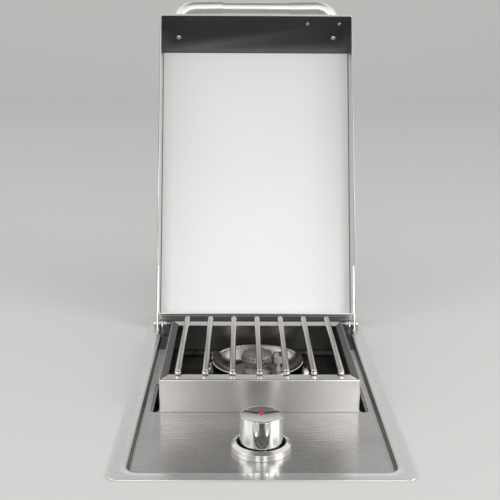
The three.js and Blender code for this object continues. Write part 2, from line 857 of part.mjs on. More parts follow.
function burnerBowl() {
  const { bottom, thickness, rimRadius, lipRadius, slopeStart, slopeEnd } = bowl;
  const rimTop = bottom + bowl.rimHeight;
  const dishRise = bowl.rimHeight - thickness - lipRadius;
  const start = THREE.MathUtils.degToRad(slopeStart);
  const end = THREE.MathUtils.degToRad(slopeEnd);
  const dishRadius = dishRise / (Math.cos(start) - Math.cos(end));
  const floorRadius = rimRadius - 2 * lipRadius - dishRadius * (Math.sin(end) - Math.sin(start));
  const centreX = floorRadius - dishRadius * Math.sin(start);
  const centreZ = bottom + thickness + dishRadius * Math.cos(start);
  const face = [
    [burnerBase.radius + runningGap, bottom + thickness],
    ...arc(centreX, centreZ, dishRadius, slopeStart - 90, slopeEnd - 90, 3),
    ...arc(rimRadius - lipRadius, rimTop - lipRadius, lipRadius, 110, 0, 2),
    [rimRadius - bowl.skirtTaper, rimTop - bowl.skirtHeight],
  ];
  const outline = stripOutline(face, -thickness);
  const cut = bar(electrode.ceramicRadius + runningGap, bottom - overrun, bottom + overrun, 12);
  cut.translate(electrode.offset, 0, 0);
  return shaped([revolved([...outline, outline[0]], 30)], [cut]);
}

function burnerBaseShape() {
  const { radius, bore, shoulderRadius, shoulderThickness, shoulderBottom } = burnerBase;
  const { headRadius, headHeight } = burnerBase;
  const bottom = shoulderBottom - burnerBase.spigotLength;
  const headBottom = cap.bottom - headHeight - seatGap;
  const profile = [
    [bore, bottom],
    [radius, bottom],
    [radius, shoulderBottom],
    [shoulderRadius, shoulderBottom],
    [shoulderRadius, shoulderBottom + shoulderThickness],
    [radius, shoulderBottom + 2 * shoulderThickness],
    [radius, headBottom - shoulderThickness],
    [headRadius, headBottom],
    [headRadius, headBottom + headHeight],
    [bore + shoulderThickness, headBottom + headHeight],
    [bore + shoulderThickness, burnerBase.top],
    [bore, burnerBase.top],
    [bore, bottom],
  ];
  return revolved(profile, 18);
}

function burnerCap() {
  const { radius, wall, bottom, height, skirtRadius, shoulderRadius, crownRadius } = cap;
  const seatBore = burnerBase.bore + burnerBase.shoulderThickness + seatGap;
  const outside = [
    [0, bottom],
    [skirtRadius, bottom],
    [radius, bottom + cap.widestHeight],
    [shoulderRadius, bottom + cap.shoulderHeight],
    [crownRadius, bottom + cap.crownHeight],
    [0, bottom + height],
  ];
  const cavity = [
    [0, bottom - overrun],
    [seatBore, bottom - overrun],
    [seatBore, bottom + wall / 2],
    [skirtRadius - wall, bottom + wall / 2],
    [radius - wall, bottom + cap.widestHeight],
    [shoulderRadius - wall, bottom + cap.shoulderHeight - wall],
    [0, bottom + height - wall],
  ];
  const ports = Array.from({ length: cap.portCount }, (_, i) => {
    const port = new THREE.CylinderGeometry(cap.portRadius, cap.portRadius, 3 * wall, 4);
    port.translate(0, radius - wall / 2, 0).translate(0, 0, bottom + cap.portHeight);
    return port.rotateZ((2 * Math.PI * (i + 0.5)) / cap.portCount);
  });
  return shaped([revolved(outside, 2 * cap.portCount)], [revolved(cavity, cap.portCount), ...ports]);
}

/** The folded hood over the spark gap: open below and rounded out to clear the cap. */
function sparkHood() {
  const { sheet, farX, nearX, halfDepth, wallHeight, legWidth } = hood;
  const top = flangeTop + hood.top;
  const low = top - wallHeight;
  const outer = block(nearX, farX, -halfDepth, halfDepth, low, top);
  const foot = bowl.bottom + bowl.thickness + seatGap;
  const leg = block(farX - sheet, farX, -legWidth / 2, legWidth / 2, foot, top);
  const [innerX, innerY] = [farX - sheet, halfDepth - sheet];
  const inner = block(nearX - overrun, innerX, -innerY, innerY, low - overrun, top - sheet);
  const aroundCap = bar(cap.radius + hood.capGap, low - overrun, top + overrun, 38);
  return shaped([shaped([outer], [inner, aroundCap]), leg]);
}

function electrodeCeramic() {
  const { ceramicRadius, collarRadius, collarHeight, ceramicHeight, tailLength } = electrode;
  const seat = bowl.bottom + bowl.thickness + seatGap;
  const profile = [
    [0, seat - tailLength],
    [ceramicRadius, seat - tailLength],
    [ceramicRadius, seat],
    [collarRadius, seat],
    [collarRadius, seat + collarHeight],
    [ceramicRadius, seat + collarHeight + (collarRadius - ceramicRadius)],
    [ceramicRadius, seat + ceramicHeight - ceramicRadius / 2],
    [ceramicRadius / 2, seat + ceramicHeight],
    [0, seat + ceramicHeight],
  ];
  return revolved(profile, 12).translate(electrode.offset, 0, 0);
}

/** The electrode's wire, bent towards the cap's ports. */
function electrodePin() {
  const { offset, pinRise, pinReach, pinRadius, ceramicHeight } = electrode;
  const low = bowl.bottom + bowl.thickness + 2 * seatGap + ceramicHeight;
  const points = [
    new THREE.Vector3(offset, 0, low),
    new THREE.Vector3(offset, 0, low + pinRise),
    new THREE.Vector3(offset - pinReach, 0, low + pinRise),
  ];
  return tubeAlong(new BentPath(points, 2 * pinRadius, 2), pinRadius, 0, 8);
}

/** The mixing tube: straight behind the air shutter, then turned up into the burner's base. */
function venturiTube() {
  const baseBottom = burnerBase.shoulderBottom - burnerBase.spigotLength;
  const mouthY = shutterFront() + shutter.wall + seatGap - burnerCentreY;
  const neckY = mouthY + venturi.mouthLength;
  const points = [
    new THREE.Vector3(0, neckY, gasAxisZ),
    new THREE.Vector3(0, 0, gasAxisZ),
    new THREE.Vector3(0, 0, baseBottom - seatGap),
  ];
  const path = new BentPath(points, baseBottom - 2 * seatGap - gasAxisZ, 4);
  const tube = tubeAlong(path, venturi.radius, venturi.radius - venturi.wall, 14);
  const mouth = revolved(
    [
      [venturi.mouthRadius - venturi.wall, 0],
      [venturi.mouthRadius, 0],
      [venturi.mouthRadius, venturi.mouthLength / 2],
      [venturi.radius, venturi.mouthLength + venturi.wall],
      [venturi.radius - venturi.wall, venturi.mouthLength + venturi.wall],
      [venturi.radius - venturi.wall, venturi.mouthLength],
      [venturi.mouthRadius - venturi.wall, venturi.mouthLength / 2],
      [venturi.mouthRadius - venturi.wall, 0],
    ],
    14,
  );
  mouth.rotateX(-Math.PI / 2).translate(0, mouthY, gasAxisZ);
  return shaped([tube, mouth]);
}

/** Where the air shutter's front plate starts, just in front of the nozzle's tip. */
function shutterFront() {
  return knobCentreY + orificeSeat() + orifice.hexLength + orifice.noseLength / 3;
}

/** How far behind the knob's axis the orifice seats on the valve's outlet. */
function orificeSeat() {
  return valve.halfDepth + valve.bossLength + seatGap;
}

function airShutter() {
  const { radius, wall, length, windowCount, windowWidth, windowLength, noseHole } = shutter;
  const profile = [
    [noseHole, 0],
    [radius, 0],
    [radius, length],
    [radius - wall, length],
    [radius - wall, wall],
    [noseHole, wall],
    [noseHole, 0],
  ];
  const cup = revolved(profile, 18);
  const windows = Array.from({ length: windowCount }, (_, i) => {
    const low = 2 * wall;
    const window = block(-windowWidth / 2, windowWidth / 2, 0, radius + overrun, low, low + windowLength);
    return window.rotateZ((2 * Math.PI * (i + 0.5)) / windowCount);
  });
  return shaped([cup], windows).rotateX(-Math.PI / 2).translate(0, shutterFront(), gasAxisZ);
}

// Knob, all about the knob's own axis

/** One level ring of the fluted knob, with a flute at the front. */
function knobRing(radius, depth, z) {
  const sides = knob.fluteCount * knob.pointsPerFlute;
  return Array.from({ length: sides }, (_, i) => {
    const angle = (2 * Math.PI * i) / sides;
    const dip = depth * (0.5 + 0.5 * Math.cos(knob.fluteCount * angle));
    const reach = radius - dip;
    return new THREE.Vector3(reach * Math.sin(angle), -reach * Math.cos(angle), z);
  });
}

function knobBody() {
  const { baseRadius, topRadius, bottom, top, roundRadius, fluteDepth, faceRadius, faceDepth } = knob;
  const crown = arc(topRadius - roundRadius, top - roundRadius, roundRadius, 0, 90, 2);
  const plainTop = bottom + knob.plainHeight;
  const runInShare = (knob.plainHeight + knob.fluteRunIn) / knob.height;
  const rings = [
    knobRing(baseRadius - fluteDepth, 0, bottom),
    knobRing(baseRadius, 0, bottom + fluteDepth),
    knobRing(baseRadius, 0, plainTop),
    knobRing(baseRadius + (topRadius - baseRadius) * runInShare, fluteDepth, plainTop + knob.fluteRunIn),
    ...crown.map(([radius, z], i) => knobRing(radius, fluteDepth * (1 - i / crown.length), z)),
  ];
  const hollowTop = bottom + knob.hollowDepth;
  const cuts = [
    bar(faceRadius + seatGap, top - faceDepth, top + overrun, 28),
    bar(knob.hollowRadius, bottom - overrun, hollowTop, 24),
  ];
  const hub = bar(2 * valve.stemRadius, bottom + knob.hollowDepth / 3, hollowTop + overrun, 20);
  const bore = stemShape(valve.stemRadius + seatGap, bottom - overrun, bottom + knob.boreDepth);
  const body = solidOf(shaped([lofted(rings)], cuts)).add(solidOf(hub)).subtract(solidOf(bore));
  return geometryOf(body);
}

/** A round stem with one flat, between two heights. */
function stemShape(radius, z0, z1) {
  const flatX = radius - valve.stemFlat;
  const flatAngle = THREE.MathUtils.radToDeg(Math.acos(flatX / radius));
  return prism(arc(0, 0, radius, flatAngle, 360 - flatAngle, 14), z0, z1);
}

/** The line of the knob's dished top, from its rim to its middle. */
function dishLine(lift) {
  const { faceRadius, dish } = knob;
  const rim = knob.top - seatGap + lift;
  return knob.dishShares.map((share) => [share * faceRadius, rim - dish * (1 - share * share)]);
}

/** The knob's dished top, a disc let into the body, with a pocket for the pointer. */
function knobFace() {
  const bottom = knob.top - knob.faceDepth + seatGap;
  const disc = revolved([[0, bottom], [knob.faceRadius, bottom], ...dishLine(0)], 26);
  return shaped([disc], [pointerShape(seatGap, pointer.bottom - seatGap, knob.top + overrun)]);
}

/** The pointer, which follows the dish and stands a little proud of it. */
function knobPointer() {
  const above = [[0, knob.top + overrun], [knob.faceRadius, knob.top + overrun], ...dishLine(pointer.proud)];
  const hollow = revolved([...above, [0, knob.top + overrun]].reverse(), 26);
  return shaped([pointerShape(0, pointer.bottom, knob.top)], [hollow]);
}

/** The plain pointer's outline, grown by a gap, between two heights. */
function pointerShape(grow, z0, z1) {
  const halfWidth = pointer.width / 2 + grow;
  const near = pointer.offset - pointer.length / 2 - grow;
  const far = pointer.offset + pointer.length / 2 + grow;
  return prism(roundedOutline(-halfWidth, halfWidth, near, far, halfWidth - weldDistance, 4), z0, z1);
}

/** The stem with its flat, from the plug's socket, where it slides when pressed, into the knob's bore. */
function valveStem() {
  const low = valve.plugBottom + valve.plugFloor + knob.travel + runningGap;
  return stemShape(valve.stemRadius, low, knob.bottom + knob.boreDepth - seatGap);
}

/** The plug that the stem turns: a brass cylinder with a socket for the stem. */
function valvePlug() {
  const { plugRadius, plugTop, plugBottom, plugFloor, stemRadius } = valve;
  const plug = bar(plugRadius, plugBottom, plugTop, 20);
  return shaped([plug], [stemShape(stemRadius + seatGap, plugBottom + plugFloor, plugTop + overrun)]);
}

function valveBody() {
  const { halfWidth, halfDepth, bonnetRadius, bonnetHeight, bossRadius, bossLength, top } = valve;
  const bottom = gasAxisZ - valve.bottomBelowAxis;
  const bodyTop = top - bonnetHeight;
  const outline = roundedOutline(-halfWidth, halfWidth, -halfDepth, halfDepth, valve.cornerRadius);
  const body = prism(outline, bottom, bodyTop);
  const bonnet = bar(bonnetRadius, bodyTop - bonnetHeight / 2, top, 20);
  const outlet = bar(bossRadius, 0, halfDepth + bossLength, 16).rotateX(-Math.PI / 2);
  outlet.translate(0, 0, gasAxisZ);
  const inletBoss = bar(bossRadius, 0, halfWidth + bossLength, 16).rotateY(-Math.PI / 2);
  inletBoss.translate(0, 0, gasAxisZ);
  const bore = bar(valve.plugRadius + seatGap, valve.plugBottom - seatGap, top + overrun, 20);
  return shaped([body, bonnet, outlet, inletBoss], [bore]);
}

function valveBracket() {
  const { halfTop, halfFoot, thickness, depth, top, footTop } = hat;
  const line = [
    [-halfFoot, footTop - thickness],
    [-halfTop, footTop - thickness],
    [-halfTop + thickness, top - thickness],
    [halfTop - thickness, top - thickness],
    [halfTop, footTop - thickness],
    [halfFoot, footTop - thickness],
  ];
  const strip = prismAlongY(stripOutline(line, thickness), -depth / 2, depth / 2);
  const hole = bar(hat.stemHole, top - thickness - overrun, top + overrun, 16);
  return shaped([strip], [hole]);
}

function knobWellShape() {
  const { radius, wall, floorThickness, top, bottom, stemHole } = knobWell;
  const profile = [
    [stemHole, bottom],
    [radius, bottom],
    [radius, top],
    [radius - wall, top],
    [radius - wall, bottom + floorThickness],
    [stemHole, bottom + floorThickness],
    [stemHole, bottom],
  ];
  return revolved(profile, 20);
}

function knobBezel() {
  const { radius, boreRadius, bottom, top, wallHeight, edgeRound, innerRound } = bezel;
  const profile = [
    [boreRadius, bottom],
    [radius, bottom],
    ...arc(radius - edgeRound, bottom + wallHeight - edgeRound, edgeRound, 0, 90, 2),
    ...arc(boreRadius + innerRound, top - innerRound, innerRound, 90, 180, 1),
    [boreRadius, bottom],
  ];
  return revolved(profile, 36);
}

function gasOrifice() {
  const { hexRadius, hexLength, noseRadius, noseTip, noseLength } = orifice;
  const hex = prism(hexagon(hexRadius), 0, hexLength);
  const tipZ = hexLength + noseLength;
  const profile = [
    [0, 0],
    [noseRadius, 0],
    [noseRadius, hexLength + noseLength / 2],
    [noseTip, tipZ],
    [0, tipZ],
  ];
  const nose = revolved(profile, 16);
  const bore = bar(orifice.bore, hexLength + noseLength / 2, tipZ + overrun, 8);
  return shaped([hex, nose], [bore]).rotateX(-Math.PI / 2).translate(0, orificeSeat(), gasAxisZ);
}

function piezoIgniter() {
  const { width, depth, height, terminalRadius, terminalLength } = piezo;
  const x0 = valve.halfWidth + seatGap;
  const z0 = gasAxisZ - valve.bottomBelowAxis / 2;
  const outline = roundedOutline(x0, x0 + width, -depth / 2, depth / 2, piezo.cornerRadius);
  const casing = prism(outline, z0, z0 + height);
  const terminal = bar(terminalRadius, 0, terminalLength + terminalRadius, 12).rotateX(-Math.PI / 2);
  terminal.translate(x0 + width / 2, depth / 2 - terminalRadius, z0 + height / 2);
  return shaped([casing, terminal]);
}

/** The ignition lead's route from the igniter's terminal to the electrode's tail. */
function ignitionLead() {
  const startX = valve.halfWidth + seatGap + piezo.width / 2;
  const startY = knobCentreY + piezo.depth / 2 + piezo.terminalLength + seatGap;
  const startZ = gasAxisZ - valve.bottomBelowAxis / 2 + piezo.height / 2;
  const endX = electrode.offset;
  const endY = burnerCentreY;
  const endZ = bowl.bottom + bowl.thickness - electrode.tailLength;
  const route = [
    new THREE.Vector3(startX, startY, startZ),
    new THREE.Vector3(startX + 4, startY + 22, startZ - 2),
    new THREE.Vector3(startX + 17, startY + 62, startZ - 9),
    new THREE.Vector3(startX + 20, startY + 120, startZ - 12),
    new THREE.Vector3(startX + 16, startY + 176, startZ - 10),
    new THREE.Vector3(endX + 4, endY - 16, endZ - 19),
    new THREE.Vector3(endX, endY, endZ - 8),
    new THREE.Vector3(endX, endY, endZ),
  ];
  return tubeAlong(new THREE.CatmullRomCurve3(route), lead.radius, 0, 6, 24);
}

/** The gas tube from the valve's side to the inlet at the rear of the housing's floor. */
function gasTubeShape() {
  const { startX, runX, inletY, inletTop } = gasTubePlaces();
  const points = [
    new THREE.Vector3(startX, knobCentreY, gasAxisZ),
    new THREE.Vector3(runX, knobCentreY, gasAxisZ),
    new THREE.Vector3(runX, inletY, gasAxisZ),
    new THREE.Vector3(runX, inletY, inletTop + seatGap),
  ];
  const path = new BentPath(points, 3 * gasTube.radius, 3);
  return tubeAlong(path, gasTube.radius, gasTube.radius - gasTube.wall, 10);
}

function gasTubePlaces() {
  return {
    startX: -valve.halfWidth - valve.bossLength - seatGap,
    runX: gasRun.fromSide - housing.halfWidth,
    inletY: housing.rear - gasRun.fromRear,
    inletTop: housing.bottom + housing.sheet + seatGap + inlet.hexLength,
  };
}

function gasInlet() {
  const { hexRadius, hexLength, threadRadius, threadLength, bore } = inlet;
  const { runX, inletY, inletTop } = gasTubePlaces();
  const seat = inletTop - hexLength;
  const hex = prism(hexagon(hexRadius), seat, inletTop);
  const thread = bar(threadRadius, seat - threadLength - housing.sheet, seat + deck.sheet, 20);
  const hole = bar(bore, seat - threadLength - overrun, inletTop + overrun, 12);
  return shaped([hex, thread], [hole]).translate(runX, inletY, 0);
}

// Housing

/** A row of equal round-ended openings along Y, as outlines of a position across and along. */
function slotRow(count, pitch, across, halfAcross, halfAlong) {
  const radius = Math.min(halfAcross, halfAlong) - weldDistance;
  return Array.from({ length: count }, (_, i) => {
    const along = box.centreY + (i - (count - 1) / 2) * pitch;
    return roundedOutline(
      across - halfAcross,
      across + halfAcross,
      along - halfAlong,
      along + halfAlong,
      radius,
      1,
    );
  });
}

function housingShell() {
  const { halfWidth, front, rear, sheet, top, bottom, flange, cornerRadius } = housing;
  const ring = (grow, z) => levelRing(halfWidth + grow, front - grow, rear + grow, cornerRadius + grow, z, 2);
  const rings = [
    ring(0, bottom),
    ring(0, top - sheet),
    ring(flange, top - sheet),
    ring(flange, top),
    ring(-sheet, top),
    ring(-sheet, bottom),
  ];
  const { ventCount, ventPitch, ventHeight, ventLength } = housing;
  const vents = slotRow(ventCount, ventPitch, (top + bottom) / 2, ventHeight / 2, ventLength / 2);
  const cuts = vents.map((outline) => {
    const upright = outline.map(([z, y]) => [y, z]);
    return prismAlongX(upright, -halfWidth - overrun, halfWidth + overrun);
  });
  for (const side of [-1, 1]) {
    cuts.push(screwHole(side, top - overrun, top + overrun));
    for (const outline of hingeOpenings()) {
      const low = top - housing.pocketClearance;
      cuts.push(prism(outlineOnSide(outline, side), low, top + overrun));
    }
  }
  return shaped([lofted(rings, true)], cuts);
}

function housingFloor() {
  const { halfWidth, front, rear, sheet, bottom, plateFlange, cornerRadius } = housing;
  const ring = (grow, z) => {
    const inset = sheet + seatGap + grow;
    return levelRing(halfWidth - inset, front + inset, rear - inset, cornerRadius, z, 2);
  };
  const rings = [
    ring(0, bottom),
    ring(0, bottom + plateFlange),
    ring(sheet, bottom + plateFlange),
    ring(sheet, bottom + sheet),
  ];
  const { runX, inletY } = gasTubePlaces();
  const cutZ = [bottom - overrun, bottom + overrun];
  const inletHole = bar(inlet.threadRadius + runningGap, ...cutZ, 20).translate(runX, inletY, 0);
  const { louvreCount, louvrePitch, louvreWidth, louvreHeight } = housing;
  const louvres = slotRow(louvreCount, louvrePitch, 0, louvreWidth / 2, louvreHeight / 2);
  const cuts = louvres.map((outline) => prism(outline, ...cutZ));
  return shaped([lofted(rings)], [inletHole, ...cuts]);
}

// Hinge pieces, drawn for the right side about the pivot; a mirrored copy serves the left

/** Mirrors a geometry to the left side when the side is negative. */
function onSide(geometry, side) {
  return side > 0 ? geometry : geometry.scale(-1, 1, 1);
}

function hingeArm() {
  const { armInnerX, armThickness, armFront, armTail, armTop, boltRadius } = hinge;
  const low = lid.lowZ + seatGap;
  const tailRise = armTail * hinge.armTailShare;
  const outline = [
    [-armFront, low],
    [armTail - tailRise, low],
    [armTail, low + tailRise],
    [armTail, armTop / 2],
    [armTail / 2, armTop],
    [-armFront + armTop, armTop],
    [-armFront, armTop / 2],
  ];
  const hole = { x: 0, y: 0, radius: boltRadius + runningGap };
  return prismAlongX(outline, armInnerX, armInnerX + armThickness, [hole]);
}

function pivotBolt() {
  const headX = hinge.armInnerX + hinge.armThickness + seatGap;
  const shank = bar(hinge.boltRadius, hinge.boltEndX, headX + hinge.headLength / 2, 16).rotateY(Math.PI / 2);
  return shaped([hexAlongX(hinge.headRadius, headX, headX + hinge.headLength), shank]);
}

function pivotSpacer() {
  const { spacerRadius, lugOuterX, armInnerX, boltRadius } = hinge;
  return hexAlongX(spacerRadius, lugOuterX + seatGap, armInnerX - seatGap, boltRadius + seatGap);
}

function pivotNut() {
  const outer = hinge.lugOuterX - hinge.lugThickness - seatGap;
  return hexAlongX(hinge.nutRadius, outer - hinge.nutLength, outer, hinge.boltRadius + seatGap);
}

/** The lug that carries the pivot bolt, stepped in to the housing's side wall. */
function pivotLug() {
  const { lugOuterX, lugThickness, lugHalfDepth, lugRise, lugStepDrop, lugFootDepth, boltRadius } = hinge;
  const footOuterX = housing.halfWidth + seatGap + lugThickness;
  const footBottom = -lugStepDrop - lugFootDepth;
  const line = [
    [lugOuterX, lugRise],
    [lugOuterX, -lugStepDrop],
    [footOuterX, -lugStepDrop],
    [footOuterX, footBottom],
  ];
  const strip = prismAlongY(stripOutline(line, -lugThickness), -lugHalfDepth, lugHalfDepth);
  const side = [
    [-lugHalfDepth, footBottom - overrun],
    [lugHalfDepth, footBottom - overrun],
    ...arc(0, lugRise - lugHalfDepth, lugHalfDepth, 0, 180, 10),
  ];
  const roundTop = prismAlongX(side, footOuterX - 2 * lugThickness, lugOuterX + overrun);
  const hole = bar(boltRadius + seatGap, footOuterX - overrun, lugOuterX + overrun, 16).rotateY(Math.PI / 2);
  return geometryOf(solidOf(strip).intersect(solidOf(roundTop)).subtract(solidOf(hole)));
}

// Lid, drawn closed about its pivot

/** The inside outline of the lid's side, from the front's free edge over the top to the rear. */
function lidSideLine(roofZ, lowZ) {
  const frontY = (z) => -lid.reach + lid.slopeRun * (z - lid.lowZ);
  const rearY = -lid.rearWall - lid.sheet;
  const kneeZ = lid.lowZ - overrun;
  return [
    [rearY, lowZ],
    [rearY, roofZ],
    [frontY(roofZ), roofZ],
    [frontY(kneeZ), kneeZ],
    [frontY(kneeZ), lowZ],
  ];
}

/** A lid-shaped body with round long edges, from its side outline and half width. */
function lidBody(outline, halfWidth, round) {
  const shape = new THREE.Shape(offsetLine(outline, round, true).map(([y, z]) => new THREE.Vector2(y, z)));
  const options = {
    depth: 2 * (halfWidth - round),
    bevelEnabled: true,
    bevelSize: round,
    bevelThickness: round,
    bevelSegments: 3,
  };
  const body = new THREE.ExtrudeGeometry(shape, options).translate(0, 0, round - halfWidth);
  return body.rotateZ(Math.PI / 2).rotateY(Math.PI / 2);
}

/** The pressed lid. Its free edges are hemmed inward, except beside the hinge arms. */
function lidShell() {
  const { halfWidth, sheet, roofInnerZ, lowZ, bendRadius, hemHeight } = lid;
  const below = lowZ - 4 * overrun;
  const beyond = lid.reach + halfWidth;
  const inner = lidSideLine(roofInnerZ, below);
  const outerBody = solidOf(lidBody(offsetLine(inner, -sheet, true), halfWidth, bendRadius));
  const innerBody = solidOf(lidBody(inner, halfWidth - sheet, bendRadius - sheet));
  const hemBody = solidOf(lidBody(offsetLine(inner, sheet, true), halfWidth - 2 * sheet, bendRadius - sheet));
  const aboveHem = block(-halfWidth, halfWidth, -beyond, beyond, lowZ + hemHeight, roofInnerZ + overrun);
  const besideFront = -hinge.armFront - overrun;
  const besideArms = block(-halfWidth, halfWidth, besideFront, beyond, below - overrun, roofInnerZ);
  const cavity = innerBody.intersect(solidOf(aboveHem).add(solidOf(besideArms))).add(hemBody);
  const trim = block(-halfWidth - overrun, halfWidth + overrun, -beyond, beyond, below - 2 * overrun, lowZ);
  let shell = outerBody.subtract(cavity).subtract(solidOf(trim));
  const armNear = hinge.armInnerX - runningGap;
  const armFar = hinge.armInnerX + hinge.armThickness + seatGap;
  const cutTop = hinge.armTop + runningGap;
  for (const side of [-1, 1]) {
    const rearCut = block(armNear, armFar, -2 * lid.rearWall, 0, lowZ - overrun, cutTop);
    shell = shell.subtract(solidOf(onSide(rearCut, side)));
  }
  for (const cut of [...handlePlaces(), ...studPlaces()]) {
    const hole = bar(cut.radius + seatGap, -overrun, overrun, 12);
    shell = shell.subtract(solidOf(onFrontWall(hole, cut.x, cut.share)));
  }
  return geometryOf(shell);
}

function lidLiner() {
  const { halfWidth, linerInset, linerZ, linerSheet, linerRearInset, rearWall, lowZ, slopeRun, reach } = lid;
  const rearY = -rearWall - linerRearInset;
  const frontY = -reach + slopeRun * (linerZ + linerSheet - lowZ) + seatGap;
  return block(linerInset - halfWidth, halfWidth - linerInset, frontY, rearY, linerZ, linerZ + linerSheet);
}

/** Moves a shape onto the front wall's inner face, its Z along the wall's inward normal. */
function onFrontWall(geometry, x, share) {
  const z = lid.lowZ + (lid.linerZ - lid.lowZ) * share;
  const y = -lid.reach + lid.slopeRun * (z - lid.lowZ);
  const inward = -Math.PI / 2 - frontWallTilt;
  return geometry.rotateX(inward).translate(x, y, z);
}

function handlePlaces() {
  const { halfSpan, wallShare, screwRadius } = handle;
  return [-1, 1].map((side) => ({ x: side * halfSpan, share: wallShare, radius: screwRadius }));
}

function studPlaces() {
  const { firstX, spacing, wallShare, radius } = stud;
  return [0, 1].map((i) => ({ x: firstX + i * spacing, share: wallShare, radius }));
}

/** A screw or stud through the front wall, with its head on the inside. */
function wallFastener(radius, length, headRadius, headHeight) {
  const profile = [
    [0, -length],
    [radius, -length],
    [radius, seatGap],
    [headRadius, seatGap],
    [headRadius, seatGap + headHeight / 2],
    [headRadius / 2, seatGap + headHeight],
    [0, seatGap + headHeight],
  ];
  return revolved(profile, 12);
}

/** Where the handle leaves the front wall, and the height of its bar. */
function handleAnchor() {
  const z = lid.lowZ + (lid.linerZ - lid.lowZ) * handle.wallShare;
  return { y: -lid.reach + lid.slopeRun * (z - lid.lowZ), z };
}

function handleEnd(side) {
  const { endRadius, footRadius, footLength, wallShare, collarX } = handle;
  const { y, z } = handleAnchor();
  const x = side * handle.halfSpan;
  const barY = y - handle.reach;
  const barZ = z - handle.drop;
  const points = [
    new THREE.Vector3(x, y + overrun, z),
    new THREE.Vector3(x, barY, barZ),
    new THREE.Vector3(side * collarX, barY, barZ),
  ];
  const arm = tubeAlong(new BentPath(points, handle.bendRadius, 4), endRadius, 0, 16);
  const footProfile = [
    [0, -footLength],
    [endRadius, -footLength],
    [footRadius, -footLength / 2],
    [footRadius, overrun],
    [0, overrun],
  ];
  const foot = onFrontWall(revolved(footProfile, 16), x, wallShare);
  const beyond = 4 * footRadius;
  const inside = block(-beyond, beyond, -beyond, beyond, -lid.sheet - seatGap, beyond);
  const bore = bar(handle.screwRadius + seatGap, -handle.screwLength - seatGap, overrun, 12);
  const socket = bar(handle.tubeRadius + seatGap, -overrun, handle.socketDepth, 16);
  socket.rotateY((side * Math.PI) / 2).translate(side * collarX, barY, barZ);
  const cuts = [onFrontWall(inside, x, wallShare), onFrontWall(bore, x, wallShare), socket];
  return shaped([arm, foot], cuts);
}

function handleBar() {
  const { y, z } = handleAnchor();
  const halfLength = handle.collarX + handle.socketDepth - seatGap;
  const tube = bar(handle.tubeRadius, -halfLength, halfLength, 16).rotateY(Math.PI / 2);
  return tube.translate(0, y - handle.reach, z - handle.drop);
}

// The whole product

function deckGroup() {
  const screwY = frontEdge + deckScrew.fromFront;
  const rods = Array.from({ length: rod.count }, (_, i) => {
    const mesh = part(`grate_rod_${i + 1}`, "polishedSteel", grateRod());
    mesh.position.set((i - (rod.count - 1) / 2) * rod.pitch, box.front + rod.frontInset, rod.axisZ);
    return mesh;
  });
  const screws = [-1, 1].map((side) => {
    const mesh = part(`deck_screw_${side < 0 ? "left" : "right"}`, "polishedSteel", deckScrewShape());
    mesh.position.set(side * deckScrew.x, screwY, 0);
    return mesh;
  });
  return groupAt(0, 0, 0, [
    part("deck_plate", "brushedSteel", deckPlate()),
    part("burner_box", "brushedSteel", burnerBox()),
    part("drip_tray", "darkSteel", dripTray()),
    part("housing_shell", "galvanisedSteel", housingShell()),
    part("housing_floor", "galvanisedSteel", housingFloor()),
    ...screws,
    ...rods,
  ]);
}

function burnerGroup() {
  return groupAt(0, burnerCentreY, 0, [
    part("burner_bracket", "polishedSteel", burnerBracket()),
    part("burner_bowl", "polishedSteel", burnerBowl()),
    part("burner_base", "castBurner", burnerBaseShape()),
    part("burner_cap", "castBurner", burnerCap()),
    part("spark_hood", "brushedSteel", sparkHood()),
    part("electrode_ceramic", "ceramic", electrodeCeramic()),
    part("electrode_pin", "polishedSteel", electrodePin()),
    part("venturi_tube", "galvanisedSteel", venturiTube()),
  ]);
}

function gasGroup() {
  return groupAt(0, 0, 0, [
    part("air_shutter", "galvanisedSteel", airShutter()),
    part("gas_tube", "brushedSteel", gasTubeShape()),
    part("gas_inlet", "brass", gasInlet()),
    part("ignition_lead", "leadRubber", ignitionLead()),
  ]);
}

function knobGroup() {
  return groupAt(0, knobCentreY, 0, [
    part("knob_body", "chrome", knobBody()),
    part("knob_face", "satinChrome", knobFace()),
    part("knob_pointer", "redEnamel", knobPointer()),
    part("valve_stem", "brass", valveStem()),
    part("valve_plug", "brass", valvePlug()),
    part("knob_bezel", "satinChrome", knobBezel()),
    part("knob_well", "blackPlastic", knobWellShape()),
    part("valve_bracket", "galvanisedSteel", valveBracket()),
    part("valve_body", "castAluminium", valveBody()),
    part("gas_orifice", "brass", gasOrifice()),
    part("piezo_igniter", "blackPlastic", piezoIgniter()),
  ]);
}

function hingeGroup() {
  const parts = [];
  for (const side of [-1, 1]) {
    const label = side < 0 ? "left" : "right";
    parts.push(
      part(`pivot_bolt_${label}`, "polishedSteel", onSide(pivotBolt(), side)),
      part(`pivot_spacer_${label}`, "polishedSteel", onSide(pivotSpacer(), side)),
      part(`pivot_nut_${label}`, "polishedSteel", onSide(pivotNut(), side)),
      part(`pivot_lug_${label}`, "brushedSteel", onSide(pivotLug(), side)),
    );
  }
  return groupAt(0, pivot.y, pivot.z, parts);
}

